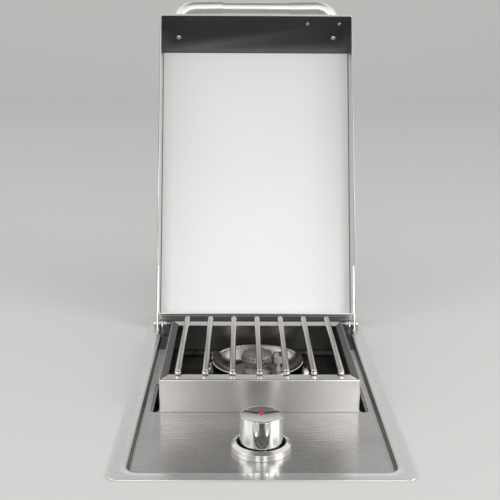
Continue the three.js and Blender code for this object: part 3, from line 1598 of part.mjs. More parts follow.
function lidGroup() {
  const parts = [
    part("lid_shell", "brushedSteel", lidShell()),
    part("lid_liner", "brushedSteel", lidLiner()),
    part("handle_bar", "polishedSteel", handleBar()),
  ];
  for (const side of [-1, 1]) {
    const label = side < 0 ? "left" : "right";
    const { screwRadius, screwLength, screwHeadRadius, screwHeadHeight, halfSpan, wallShare } = handle;
    const screw = wallFastener(screwRadius, screwLength, screwHeadRadius, screwHeadHeight);
    parts.push(
      part(`hinge_arm_${label}`, "brushedSteel", onSide(hingeArm(), side)),
      part(`handle_end_${label}`, "satinChrome", handleEnd(side)),
      part(`handle_screw_${label}`, "polishedSteel", onFrontWall(screw, side * halfSpan, wallShare)),
    );
  }
  studPlaces().forEach((place, i) => {
    const shape = wallFastener(stud.radius, lid.sheet + stud.headHeight, stud.headRadius, stud.headHeight);
    parts.push(part(`lid_stud_${i + 1}`, "polishedSteel", onFrontWall(shape, place.x, place.share)));
  });
  const group = groupAt(0, pivot.y, pivot.z, parts);
  group.rotation.x = -THREE.MathUtils.degToRad(lid.openAngle);
  return group;
}

const sideBurner = new THREE.Group();
sideBurner.name = "side_burner";
sideBurner.add(deckGroup(), burnerGroup(), gasGroup(), knobGroup(), hingeGroup(), lidGroup());

export default sideBurner;
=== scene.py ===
"""Studio scene of a built-in side burner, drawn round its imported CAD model.

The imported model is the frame. The pieces that show from a step away are drawn again with finer
rounds or are smoothed copies of the frame's solids, and every other solid gets its finish where it
stands. Sizes are in millimetres until they reach Blender, which works in metres.
"""

from __future__ import annotations

import json
import logging
import math
from collections.abc import Callable, Iterator, Sequence
from contextlib import contextmanager
from dataclasses import dataclass, field
from enum import Enum

import bpy
from bpy.types import Material, Modifier, Node, NodeSocket, NodeTree, Object
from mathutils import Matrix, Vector

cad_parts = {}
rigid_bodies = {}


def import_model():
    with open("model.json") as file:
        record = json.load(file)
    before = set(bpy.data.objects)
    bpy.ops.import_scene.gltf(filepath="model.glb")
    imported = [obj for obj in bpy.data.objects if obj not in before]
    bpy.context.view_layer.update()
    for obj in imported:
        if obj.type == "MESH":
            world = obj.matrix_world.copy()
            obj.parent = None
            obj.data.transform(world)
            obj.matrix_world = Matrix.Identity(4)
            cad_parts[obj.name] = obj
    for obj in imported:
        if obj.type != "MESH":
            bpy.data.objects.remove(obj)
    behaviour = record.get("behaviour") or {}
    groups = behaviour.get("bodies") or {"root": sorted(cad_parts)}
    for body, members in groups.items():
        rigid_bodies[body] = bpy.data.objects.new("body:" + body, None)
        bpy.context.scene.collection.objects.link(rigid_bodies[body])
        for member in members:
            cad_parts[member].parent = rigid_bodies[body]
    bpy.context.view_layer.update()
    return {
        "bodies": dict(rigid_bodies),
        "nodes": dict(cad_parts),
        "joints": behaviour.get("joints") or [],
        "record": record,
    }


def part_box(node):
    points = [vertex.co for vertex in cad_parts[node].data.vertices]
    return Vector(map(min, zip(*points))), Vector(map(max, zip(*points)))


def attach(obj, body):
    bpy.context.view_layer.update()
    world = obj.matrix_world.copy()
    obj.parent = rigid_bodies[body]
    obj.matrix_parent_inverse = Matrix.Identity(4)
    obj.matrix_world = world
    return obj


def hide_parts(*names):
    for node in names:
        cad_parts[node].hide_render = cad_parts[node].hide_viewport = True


log = logging.getLogger("side_burner")

MM = 0.001
WELD = 0.002 * MM
FULL_TURN = 2 * math.pi
NOISE_LOW, NOISE_HIGH = 0.3, 0.7  # the range that most of a noise pattern stays in
ORIGIN = Vector((0, 0, 0))
ALONG_X = Vector((1, 0, 0))
ALONG_Y = Vector((0, 1, 0))
ALONG_Z = Vector((0, 0, 1))

Profile = Sequence[tuple[float, float]]


# Colours and shader nodes


def linear(colour: int) -> tuple[float, float, float, float]:
    """Turn an sRGB colour into the linear one that a shader takes.

    Args:
        colour: The colour as 0xRRGGBB.

    Returns:
        Linear red, green, blue and an alpha of 1.
    """
    channels = [(colour >> shift & 0xFF) / 0xFF for shift in (16, 8, 0)]
    lifted = [c / 12.92 if c <= 0.04045 else ((c + 0.055) / 1.055) ** 2.4 for c in channels]
    return lifted[0], lifted[1], lifted[2], 1.0


def feed(tree: NodeTree, node: Node, inputs: dict) -> None:
    """Set or link some of a node's inputs.

    Args:
        tree: The node tree.
        node: The node.
        inputs: A value or another node's socket for each input, by name or number.
    """
    for name, value in inputs.items():
        if isinstance(value, NodeSocket):
            tree.links.new(value, node.inputs[name])
        else:
            node.inputs[name].default_value = value


def add_node(tree: NodeTree, kind: str, inputs: dict | None = None, **settings: str) -> Node:
    """Add one shader node with its settings, its values and its links.

    Args:
        tree: The node tree.
        kind: The node's type name after "ShaderNode".
        inputs: A value or another node's socket for each input, by name or number.
        settings: Values of the node's own properties.

    Returns:
        The new node.
    """
    node = tree.nodes.new(f"ShaderNode{kind}")
    for name, value in settings.items():
        setattr(node, name, value)
    feed(tree, node, inputs or {})
    return node


def blank_material(name: str) -> tuple[Material, NodeTree, Node, NodeSocket]:
    """Start a material.

    Args:
        name: The material's name.

    Returns:
        The material, its node tree, its main shader node and the place on the object.
    """
    material = bpy.data.materials.new(name)
    material.use_nodes = True
    tree = material.node_tree
    place = add_node(tree, "TexCoord").outputs["Object"]
    return material, tree, tree.nodes["Principled BSDF"], place


class Grain(Enum):
    """The way a belt or a lathe left its lines: a pattern's squeeze along X, Y and Z, and a turn.

    A highlight stretches across the lines, so its turn is a quarter where the lines run along X.
    """

    ACROSS = (0.02, 1.0, 1.0, 0.25)
    LENGTHWISE = (1.0, 0.02, 0.02, 0.0)
    NONE = (1.0, 1.0, 1.0, 0.0)


@dataclass(frozen=True)
class PaintedHighlightRim:
    """The deck's rim outside its recess: painted brighter as a highlight, and smoother next to the recess.

    Attributes:
        centre_y: The recess's centre along Y in mm, with X at zero.
        half_width: Half the recess's width in mm.
        half_length: Half its length in mm.
        corner: The radius of its corners in mm.
        edge: The width over which the painted brighter colour sets in, in mm.
        width: The width of the smoother band in mm.
        fade: The width over which that band fades out in mm.
        colour: The rim's brighter colour, a painted highlight, as 0xRRGGBB.
        roughness: The band's roughness.
        side_share: How strong the band is away from the front, from 0 to 1.
        front_zone: How far from the front the band keeps getting weaker, in mm.
    """

    centre_y: float = 268.6
    half_width: float = 147.0
    half_length: float = 254.9
    corner: float = 13.0
    edge: float = 0.8
    width: float = 7.5
    fade: float = 3.0
    colour: int = 0xEBEAE8
    roughness: float = 0.22
    side_share: float = 0.3
    front_zone: float = 22.0

    def shares(self, tree: NodeTree, place: NodeSocket) -> tuple[NodeSocket, NodeSocket]:
        """How much a point is outside the recess and how much it belongs to the band.

        Args:
            tree: The node tree.
            place: The point in the object's own coordinates.

        Returns:
            The sockets of the two shares, which go from 0 to 1.
        """
        corner, front = self.corner * MM, (self.centre_y - self.half_length) * MM
        # One metre is past any height on the part, so only X and Y count
        rounds_at = (self.half_width * MM - corner, self.half_length * MM - corner, 1.0)
        centring = {0: place, 1: (0, self.centre_y * MM, 0)}
        centred = add_node(tree, "VectorMath", centring, operation="SUBTRACT").outputs[0]
        folded = add_node(tree, "VectorMath", {0: centred}, operation="ABSOLUTE").outputs[0]
        beyond = add_node(tree, "VectorMath", {0: folded, 1: rounds_at}, operation="SUBTRACT").outputs[0]
        outside = add_node(tree, "VectorMath", {0: beyond, 1: ORIGIN}, operation="MAXIMUM").outputs[0]
        distance = add_node(tree, "VectorMath", {0: outside}, operation="LENGTH").outputs["Value"]
        rising = {"Value": distance, "From Min": corner, "From Max": corner + self.edge * MM}
        rise = add_node(tree, "MapRange", rising).outputs["Result"]
        full, gone = corner + self.width * MM, corner + (self.width + self.fade) * MM
        falling = {"Value": distance, "From Min": full, "From Max": gone, "To Min": 1.0, "To Max": 0.0}
        fall = add_node(tree, "MapRange", falling).outputs["Result"]
        along = add_node(tree, "SeparateXYZ", {"Vector": place}).outputs["Y"]
        weakening = {"Value": along, "From Min": front, "From Max": front + self.front_zone * MM}
        weakening |= {"To Min": 1.0, "To Max": self.side_share}
        strength = add_node(tree, "MapRange", weakening).outputs["Result"]
        band = add_node(tree, "Math", {0: rise, 1: fall}, operation="MULTIPLY").outputs[0]
        smooth = add_node(tree, "Math", {0: band, 1: strength}, operation="MULTIPLY").outputs[0]
        return rise, smooth

    def paint_highlight(self, tree: NodeTree, shader: Node, place: NodeSocket) -> None:
        """Paint the rim brighter as a highlight and smooth it, over what the shader has so far.

        Args:
            tree: The node tree.
            shader: The main shader node.
            place: The point in the object's own coordinates.
        """
        outside, smooth = self.shares(tree, place)
        colour = shader.inputs["Base Color"].links[0].from_socket
        roughness = shader.inputs["Roughness"].links[0].from_socket
        # the rim's brighter colour is a painted highlight
        bright = add_node(tree, "Mix", {0: outside, 6: colour, 7: linear(self.colour)}, data_type="RGBA")
        even = add_node(tree, "Mix", {0: smooth, 2: roughness, 3: self.roughness}, data_type="FLOAT")
        feed(tree, shader, {"Base Color": bright.outputs[2], "Roughness": even.outputs[0]})


@dataclass(frozen=True)
class Surface:
    """What every finish starts from: a colour that leans to a second one by a pattern.

    Attributes:
        name: What the real material is.
        colour: Its colour as 0xRRGGBB.
        second: The colour of its smudges, stains or duller crystals.
    """

    name: str
    colour: int
    second: int

    def build(self) -> Material:
        """Make the material.

        Returns:
            The material.
        """
        material, tree, shader, place = blank_material(self.name)
        lean = {0: self.texture(tree, shader, place), 6: linear(self.colour), 7: linear(self.second)}
        tint = add_node(tree, "Mix", lean, data_type="RGBA")
        feed(tree, shader, {"Base Color": tint.outputs[2]})
        self.add_painted_highlight(tree, shader, place)
        return material

    def texture(self, tree: NodeTree, shader: Node, place: NodeSocket) -> NodeSocket:
        """Feed the shader all but its colour.

        Args:
            tree: The node tree.
            shader: The main shader node.
            place: The point in the object's own coordinates.

        Returns:
            How much of the second colour shows at that point, from 0 to 1.
        """
        raise NotImplementedError

    def add_painted_highlight(self, tree: NodeTree, shader: Node, place: NodeSocket) -> None:
        """Change the finished shader where a painted highlight goes, which most finishes don't have."""


@dataclass(frozen=True)
class Metal(Surface):
    """A bare or plated metal with fine lines or grit, soft smudges and a little unevenness.

    Attributes:
        roughness: Its mean roughness.
        grain: The direction of its lines.
        spacing: The distance between lines or grains in mm.
        relief: How strongly the lines catch the light, from 0 to 1.
        streak: How much roughness the lines add and take away.
        cloud: The size of a smudge in mm.
        anisotropy: How much a highlight stretches across the lines.
        groove: The depth of a line in mm.
        rim: Where it is painted brighter as a highlight, if anywhere.
    """

    roughness: float
    grain: Grain = Grain.NONE
    spacing: float = 0.5
    relief: float = 0.03
    streak: float = 0.03
    cloud: float = 60.0
    anisotropy: float = 0.0
    groove: float = 0.05
    rim: PaintedHighlightRim | None = None

    def texture(self, tree: NodeTree, shader: Node, place: NodeSocket) -> NodeSocket:
        """Feed the shader its lines, and return where the smudges are.

        Args:
            tree: The node tree.
            shader: The main shader node.
            place: The point in the object's own coordinates.

        Returns:
            How much of a smudge a point has, from 0 to 1.
        """
        *squeeze, turn = self.grain.value
        scale = [share / (self.spacing * MM) for share in squeeze]
        lines_at = add_node(tree, "Mapping", {"Vector": place, "Scale": scale}).outputs["Vector"]
        line_look = {"Vector": lines_at, "Scale": 1.0, "Detail": 3.0, "Roughness": 0.6}
        lines = add_node(tree, "TexNoise", line_look).outputs["Fac"]
        cloud_look = {"Vector": place, "Scale": 1 / (self.cloud * MM), "Detail": 4.0, "Roughness": 0.55}
        clouds = add_node(tree, "TexNoise", cloud_look).outputs["Fac"]
        unevenness = {"Value": lines, "From Min": NOISE_LOW, "From Max": NOISE_HIGH}
        unevenness |= {"To Min": self.roughness - self.streak, "To Max": self.roughness + self.streak}
        relief = {"Height": lines, "Strength": self.relief, "Distance": self.groove * MM}
        look = {
            "Metallic": 1.0,
            "Roughness": add_node(tree, "MapRange", unevenness).outputs["Result"],
            "Normal": add_node(tree, "Bump", relief).outputs["Normal"],
            "Anisotropic": self.anisotropy,
            "Anisotropic Rotation": turn,
        }
        if self.anisotropy > 0:
            sideways = add_node(tree, "CombineXYZ", {"X": 1.0, "Y": 0.05, "Z": 0.05})
            look["Tangent"] = sideways.outputs["Vector"]
        feed(tree, shader, look)
        return clouds

    def add_painted_highlight(self, tree: NodeTree, shader: Node, place: NodeSocket) -> None:
        """Paint the rim's highlight, if the finish has one."""
        if self.rim:
            self.rim.paint_highlight(tree, shader, place)


@dataclass(frozen=True)
class CastMetal(Surface):
    """A cast or scaled metal: a pebbled skin that heat has stained darker in patches.

    Attributes:
        roughness: Its mean roughness.
        pebble: The size of a pebble in mm.
        patch: The size of a stain in mm.
        metallic: How much of it reflects as metal.
        unevenness: How much roughness the pebbles add and take away.
        stain_range: Where on the patches' pattern a stain starts and is full.
        relief: How strongly the pebbles catch the light, from 0 to 1.
        pit: The depth between pebbles in mm.
    """

    roughness: float
    pebble: float = 0.9
    patch: float = 14.0
    metallic: float = 0.85
    unevenness: float = 0.12
    stain_range: tuple[float, float] = (0.42, 0.68)
    relief: float = 0.35
    pit: float = 0.2

    def texture(self, tree: NodeTree, shader: Node, place: NodeSocket) -> NodeSocket:
        """Feed the shader its pebbles, and return where the stains are.

        Args:
            tree: The node tree.
            shader: The main shader node.
            place: The point in the object's own coordinates.

        Returns:
            How much of a stain a point has, from 0 to 1.
        """
        skin_look = {"Vector": place, "Scale": 1 / (self.pebble * MM), "Detail": 4.0, "Roughness": 0.65}
        skin = add_node(tree, "TexNoise", skin_look).outputs["Fac"]
        patch_look = {"Vector": place, "Scale": 1 / (self.patch * MM), "Detail": 5.0, "Roughness": 0.6}
        patches = add_node(tree, "TexNoise", patch_look).outputs["Fac"]
        start, full = self.stain_range
        low, high = self.roughness - self.unevenness, self.roughness + self.unevenness
        rough = add_node(tree, "MapRange", {"Value": skin, "To Min": low, "To Max": high})
        relief = {"Height": skin, "Strength": self.relief, "Distance": self.pit * MM}
        look = {
            "Metallic": self.metallic,
            "Roughness": rough.outputs["Result"],
            "Normal": add_node(tree, "Bump", relief).outputs["Normal"],
        }
        feed(tree, shader, look)
        stains = {"Value": patches, "From Min": start, "From Max": full}
        return add_node(tree, "MapRange", stains).outputs["Result"]


@dataclass(frozen=True)
class SpangledZinc(Surface):
    """Hot-dip zinc on sheet steel: flat crystals, each a little lighter or duller than the next.

    Attributes:
        crystal: The size of a crystal in mm.
        smoothest: The roughness of the smoothest crystals.
        dullest: The roughness of the dullest ones.
    """

    crystal: float = 9.0
    smoothest: float = 0.38
    dullest: float = 0.55

    def texture(self, tree: NodeTree, shader: Node, place: NodeSocket) -> NodeSocket:
        """Feed the shader its crystals, and return which of them are duller.

        Args:
            tree: The node tree.
            shader: The main shader node.
            place: The point in the object's own coordinates.

        Returns:
            How dull a point's crystal is, from 0 to 1.
        """
        crystals = add_node(tree, "TexVoronoi", {"Vector": place, "Scale": 1 / (self.crystal * MM)})
        level = add_node(tree, "SeparateColor", {"Color": crystals.outputs["Color"]}).outputs
        dulling = {"Value": level["Green"], "To Min": self.smoothest, "To Max": self.dullest}
        rough = add_node(tree, "MapRange", dulling)
        feed(tree, shader, {"Metallic": 1.0, "Roughness": rough.outputs["Result"]})
        return level["Red"]


@dataclass(frozen=True)
class Moulded(Surface):
    """A moulded, glazed or painted skin that isn't metal, with its fine texture.

    Attributes:
        roughness: Its mean roughness.
        spacing: The size of its surface texture in mm.
        relief: How strongly the texture catches the light.
        gloss: How much clear gloss lies over it.
        depth: The texture's depth in mm.
    """

    roughness: float
    spacing: float
    relief: float
    gloss: float = 0.0
    depth: float = 0.08

    def texture(self, tree: NodeTree, shader: Node, place: NodeSocket) -> NodeSocket:
        """Feed the shader its skin, and return where the skin is lighter or darker.

        Args:
            tree: The node tree.
            shader: The main shader node.
            place: The point in the object's own coordinates.

        Returns:
            How much a point leans to the second colour, from 0 to 1.
        """
        skin_look = {"Vector": place, "Scale": 1 / (self.spacing * MM), "Detail": 3.0}
        skin = add_node(tree, "TexNoise", skin_look).outputs["Fac"]
        relief = {"Height": skin, "Strength": self.relief, "Distance": self.depth * MM}
        normal = add_node(tree, "Bump", relief).outputs["Normal"]
        feed(tree, shader, {"Normal": normal, "Roughness": self.roughness, "Coat Weight": self.gloss})
        return skin


class Finish(Enum):
    """The finishes of the burner.

    Real brush lines and grit are too fine for the render, so each finish draws them at its spacing,
    which is several times coarser.
    """

    # Grade 304 sheet, belt brushed: a satin sheen that stretches across its fine lines, with its rim round
    # the recess painted brighter as a highlight
    DECK_STEEL = Metal(
        "brushed_stainless_deck", 0xD6D4D2, 0xAFACAA, roughness=0.28, grain=Grain.ACROSS,
        spacing=0.6, relief=0.025, cloud=70.0, anisotropy=0.9, rim=PaintedHighlightRim(),
    )
    # The burner box, of the same sheet with a finer belt
    BOX_STEEL = Metal(
        "brushed_stainless_box", 0xDEDCDA, 0xC6C4C2, roughness=0.22, grain=Grain.ACROSS,
        relief=0.02, streak=0.02, cloud=90.0, anisotropy=0.9,
    )
    # Inside the box the sheet is darker and rougher
    DARKER_INNER_STEEL = Metal(
        "darker_inner_stainless", 0x8A8785, 0x6E6B69, roughness=0.34, grain=Grain.ACROSS,
        spacing=0.7, cloud=50.0, anisotropy=0.5,
    )
    # The same sheet painted near-white as a highlight on the box's end flanges
    PAINTED_HIGHLIGHT_STEEL = Metal(
        "stainless_painted_highlight", 0xF6F5F3, 0xE9E7E5, roughness=0.24, grain=Grain.ACROSS,
        spacing=0.7, cloud=70.0, anisotropy=0.6,
    )
    # The same sheet with the belt run along it, painted darker as shade on the box's side flanges and the
    # recess walls
    PAINTED_SHADE_SIDE_STEEL = Metal(
        "brushed_stainless_painted_shade", 0x6E6C6A, 0x605E5C, roughness=0.36, grain=Grain.LENGTHWISE,
        spacing=0.7, relief=0.06, streak=0.04,
    )
    # The same sheet on the lid
    LID_STEEL = Metal(
        "brushed_stainless_lid", 0xD2D1CF, 0xC8C6C4, roughness=0.3, grain=Grain.ACROSS,
        spacing=0.6, relief=0.05, cloud=90.0, anisotropy=0.8,
    )
    # The bright inner sheet of the lid: a pearly, even finish
    LINER_STEEL = Metal(
        "bright_stainless_liner", 0xE4E4E3, 0xDFDFDE, roughness=0.46, grain=Grain.LENGTHWISE,
        relief=0.02, streak=0.02, cloud=120.0,
    )
    # Steel inside the lid's front, painted dark as shade and as a dark reflection
    PAINTED_SHADE_LID_STEEL = Metal(
        "steel_inside_painted_shade", 0x5A5757, 0x504D4E, roughness=0.45, grain=Grain.ACROSS,
        spacing=0.9, relief=0.04, streak=0.04, cloud=50.0,
    )
    # Buffed stainless of bolts, nuts and rods: sharp highlights with faint turning marks
    POLISHED_STEEL = Metal(
        "polished_stainless", 0xD2D0CD, 0xB4B1AD, roughness=0.13,
        spacing=1.2, relief=0.05, streak=0.04, cloud=22.0,
    )
    # The handle's drawn tube, buffed nearly white
    HANDLE_STEEL = Metal(
        "buffed_handle_tube", 0xF7F6F4, 0xECEBE8, roughness=0.3, grain=Grain.ACROSS, cloud=40.0
    )
    # Pressed and buffed bowl that heat has tinted a little
    BOWL_STEEL = Metal(
        "heat_tinted_stainless", 0xF0EEEA, 0xC9C3BB, roughness=0.15,
        spacing=2.0, relief=0.06, streak=0.04, cloud=26.0,
    )
    # The bowl's outer wall, painted black as shade under its rim
    PAINTED_SHADE_BOWL_STEEL = Metal(
        "steel_painted_shade_under_rim", 0x2B2928, 0x191817, roughness=0.5,
        spacing=1.2, relief=0.1, streak=0.05, cloud=18.0,
    )
    # Mirror plating over a cast knob
    CHROME = Metal(
        "bright_chrome_plate", 0xE9E9E8, 0xDCDCDB, roughness=0.09,
        spacing=3.0, relief=0.02, streak=0.02, cloud=30.0,
    )
    # The same plating on the bezel, dulled by wiping
    BEZEL_CHROME = Metal(
        "wiped_chrome_plate", 0xEDECEA, 0xDAD9D7, roughness=0.16, spacing=0.8, streak=0.04, cloud=18.0
    )
    # Plating over a blasted surface: soft highlights
    SATIN_CHROME = Metal(
        "satin_chrome_plate", 0xC9C8C4, 0xBBBAB6, roughness=0.26, relief=0.06, streak=0.04, cloud=25.0
    )
    # Hot-dip zinc on the parts that stay below the deck
    ZINC = SpangledZinc("zinc_coated_sheet", 0xA9ACAB, 0x8B8E8E)
    # Pressed steel under the burner, stained by heat and spills
    TRAY_STEEL = CastMetal(
        "stained_tray_steel", 0x4B4846, 0x26221F, pebble=0.8, patch=30.0, roughness=0.42, metallic=0.9
    )
    # Grey cast burner head with a dull pebbled skin
    BURNER_CAST = CastMetal("cast_burner_metal", 0xA19E99, 0x78736C, roughness=0.48)
    # Die-cast valve body: light grey and even
    VALVE_CAST = CastMetal(
        "die_cast_aluminium", 0xA9AAAA, 0x939494, pebble=0.7, patch=20.0, roughness=0.5, metallic=1.0
    )
    # Turned gas fittings
    BRASS = Metal(
        "turned_brass", 0xC9A45A, 0xB38E48, roughness=0.26,
        spacing=0.4, relief=0.08, streak=0.05, cloud=12.0,
    )
    # Heat-resisting moulding of the knob's well and the igniter
    PHENOLIC = Moulded(
        "black_phenolic_moulding", 0x151414, 0x1E1C1B, roughness=0.5, spacing=0.6, relief=0.15
    )
    # Enamel filled into the knob's pointer
    ENAMEL = Moulded(
        "red_enamel_fill", 0xC81E28, 0xB01820, roughness=0.3, spacing=1.5, relief=0.04, gloss=0.6
    )
    # Glazed porcelain round the electrode
    PORCELAIN = Moulded(
        "glazed_porcelain", 0xEFEBE0, 0xE4DED0, roughness=0.22, spacing=4.0, relief=0.02, gloss=0.5
    )
    # Silicone sleeve of the ignition lead
    SILICONE = Moulded(
        "silicone_lead_sleeve", 0x2A2523, 0x332D2A, roughness=0.6, spacing=0.7, relief=0.12
    )

    @property
    def material(self) -> Material:
        """The finish's material, made when it is first asked for."""
        return bpy.data.materials.get(self.value.name) or self.value.build()


# Workshop tools


def deselect() -> None:
    """Leave edit mode and select nothing."""
    if bpy.context.object and bpy.context.object.mode != "OBJECT":
        bpy.ops.object.mode_set(mode="OBJECT")
    bpy.ops.object.select_all(action="DESELECT")


def activate(piece: Object) -> None:
    """Select one piece alone and make it the active one.

    Args:
        piece: The piece.
    """
    deselect()
    piece.select_set(True)
    bpy.context.view_layer.objects.active = piece


@contextmanager
def editing(piece: Object, everything: bool = True) -> Iterator[None]:
    """Work in edit mode on one piece, by its vertices.

    Args:
        piece: The piece to edit.
        everything: Select all of it first, or keep what was selected in code.
    """
    activate(piece)
    bpy.ops.object.mode_set(mode="EDIT")
    bpy.ops.mesh.select_mode(type="VERT")
    if everything:
        bpy.ops.mesh.select_all(action="SELECT")
    yield
    bpy.ops.object.mode_set(mode="OBJECT")
    piece.select_set(False)


def pick(piece: Object, wanted: Callable[[Vector], bool]) -> None:
    """Select the vertices of a piece whose place passes a test, and nothing else.

    Args:
        piece: The piece.
        wanted: The test of a place.
    """
    mesh = piece.data
    mesh.polygons.foreach_set("select", [False] * len(mesh.polygons))
    mesh.edges.foreach_set("select", [False] * len(mesh.edges))
    mesh.vertices.foreach_set("select", [wanted(vertex.co) for vertex in mesh.vertices])


def seed(name: str, start: Vector) -> Object:
    """Add a mesh of a single vertex, from a plane merged at its centre.

    Args:
        name: The piece's name.
        start: Where the vertex goes.

    Returns:
        The new object, which stands at the origin.
    """
    deselect()
    bpy.ops.mesh.primitive_plane_add(size=MM, location=ORIGIN)
    piece = bpy.context.object
    piece.name = name
    with editing(piece):
        bpy.ops.mesh.merge(type="CENTER")
        bpy.ops.transform.translate(value=start)
    return piece


def close_up(piece: Object) -> None:
    """Merge what coincides and turn every face outwards.

    Args:
        piece: The piece.
    """
    with editing(piece):
        bpy.ops.mesh.remove_doubles(threshold=WELD)
        bpy.ops.mesh.normals_make_consistent(inside=False)


def apply_modifier(piece: Object, modifier: Modifier) -> None:
    """Apply one of a piece's modifiers."""
    activate(piece)
    bpy.ops.object.modifier_apply(modifier=modifier.name)


def finish_piece(piece: Object, finish: Finish, smooth_below: float = 35.0) -> None:
    """Shade a piece and give it its finish.

    Args:
        piece: The piece.
        finish: Its finish.
        smooth_below: The angle in degrees below which an edge is shaded round.
    """
    activate(piece)
    bpy.ops.object.shade_smooth_by_angle(angle=math.radians(smooth_below))
    piece.data.materials.clear()
    piece.data.materials.append(finish.material)
    piece.select_set(False)


def report(piece: Object, body: str) -> None:
    """Let a piece ride on its body and log it."""
    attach(piece, body)
    log.info("%s rides on %s with %d faces", piece.name, body, len(piece.data.polygons))


def stand_in(piece: Object, node: str, body: str) -> None:
    """Let a finished piece stand for a solid of the frame, and log it.

    Args:
        piece: The piece.
        node: The solid's name.
        body: The body that the piece rides on.
    """
    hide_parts(node)
    report(piece, body)


def middle(node: str) -> Vector:
    """The centre of a frame solid's box."""
    low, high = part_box(node)
    return (low + high) / 2


def both(name: str) -> tuple[str, str]:
    """The names of a left and a right solid."""
    return f"{name}_left", f"{name}_right"


def rounded(corner: tuple[float, float], radius: float, start: float, end: float, steps: int) -> Profile:
    """Points of a round on a profile.

    Args:
        corner: The round's centre.
        radius: Its radius.
        start: Its first angle in degrees.
        end: Its last angle in degrees.
        steps: How many spans it has.

    Returns:
        The points from start to end.
    """
    angles = [math.radians(start + (end - start) * i / steps) for i in range(steps + 1)]
    return [(corner[0] + radius * math.cos(a), corner[1] + radius * math.sin(a)) for a in angles]


@dataclass(frozen=True)
class Lathe:
    """A line to spin profiles about.

    Attributes:
        centre: A point on the line, in metres.
        axis: The line's direction, along which a profile's second number runs.
        radial: The direction along which a profile's first number runs.
    """

    centre: Vector
    axis: Vector = field(default_factory=lambda: ALONG_Z.copy())
    radial: Vector = field(default_factory=lambda: ALONG_X.copy())

    @classmethod
    def upright(cls, node: str, axis_node: str = "") -> tuple[Lathe, float]:
        """A lathe that stands on the foot of a frame solid.

        Args:
            node: The solid's name.
            axis_node: The solid whose upright axis it takes, if another one.

        Returns:
            The lathe and the solid's height in metres.
        """
        low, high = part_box(node)
        centre = middle(axis_node or node)
        return cls(Vector((centre.x, centre.y, low.z))), high.z - low.z

    def turn(self, name: str, profile: Profile, steps: int) -> Object:
        """Spin a profile into a solid of revolution.

        Args:
            name: The piece's name.
            profile: Radius and height pairs in metres, closed or from axis to axis.
            steps: The number of steps in a full turn.

        Returns:
            The new piece.
        """
        points = [self.centre + self.radial * radius + self.axis * height for radius, height in profile]
        piece = seed(name, points[0])
        with editing(piece):
            for before, after in zip(points, points[1:]):
                bpy.ops.mesh.extrude_vertices_move(TRANSFORM_OT_translate={"value": after - before})
            bpy.ops.mesh.select_all(action="SELECT")
            bpy.ops.mesh.spin(steps=steps, angle=FULL_TURN, center=self.centre, axis=self.axis)
        close_up(piece)
        return piece

    def turn_bar(self, node: str, reach: tuple[float, float], end_round: float, sides: int) -> Object:
        """Turn a straight bar whose ends are rounded off.

        Args:
            node: The name of the solid that the bar stands for.
            reach: The bar's radius and length in metres.
            end_round: The radius of the ends' rounds in mm.
            sides: The number of facets round the bar.

        Returns:
            The new piece.
        """
        radius, length = reach
        bend, steps = end_round * MM, 4
        near = rounded((radius - bend, bend), bend, -90, 0, steps)
        far = rounded((radius - bend, length - bend), bend, 0, 90, steps)
        return self.turn(f"{node}_turned", [(0, 0), *near, *far, (0, length)], sides)


def cut(piece: Object, cutter: Object) -> None:
    """Cut one piece out of another and delete the cutter.

    Args:
        piece: The piece that stays.
        cutter: The piece that is cut out of it.
    """
    modifier = piece.modifiers.new("cut", "BOOLEAN")
    modifier.operation = "DIFFERENCE"
    modifier.solver = "EXACT"
    modifier.object = cutter
    apply_modifier(piece, modifier)
    bpy.data.objects.remove(cutter)


def copied(piece: Object, name: str) -> Object:
    """Copy an object with its own mesh.

    Args:
        piece: The object to copy.
        name: The copy's name.

    Returns:
        The copy.
    """
    copy = piece.copy()
    copy.data = piece.data.copy()
    copy.name = name
    bpy.context.scene.collection.objects.link(copy)
    return copy


def smoothed(node: str, finish: Finish) -> Object:
    """Copy one of the frame's solids, merge its loose triangles and shade its rounds smooth.

    Args:
        node: The solid's name.
        finish: The copy's finish.

    Returns:
        The copy.
    """
    copy = copied(bpy.data.objects[node], f"{node}_skin")
    for key in list(copy.keys()):
        del copy[key]
    copy.parent = None
    close_up(copy)
    finish_piece(copy, finish, smooth_below=38.0)
    weigh = copy.modifiers.new("weigh", "WEIGHTED_NORMAL")
    weigh.keep_sharp = True
    apply_modifier(copy, weigh)
    return copy


# The burner's sub-assemblies


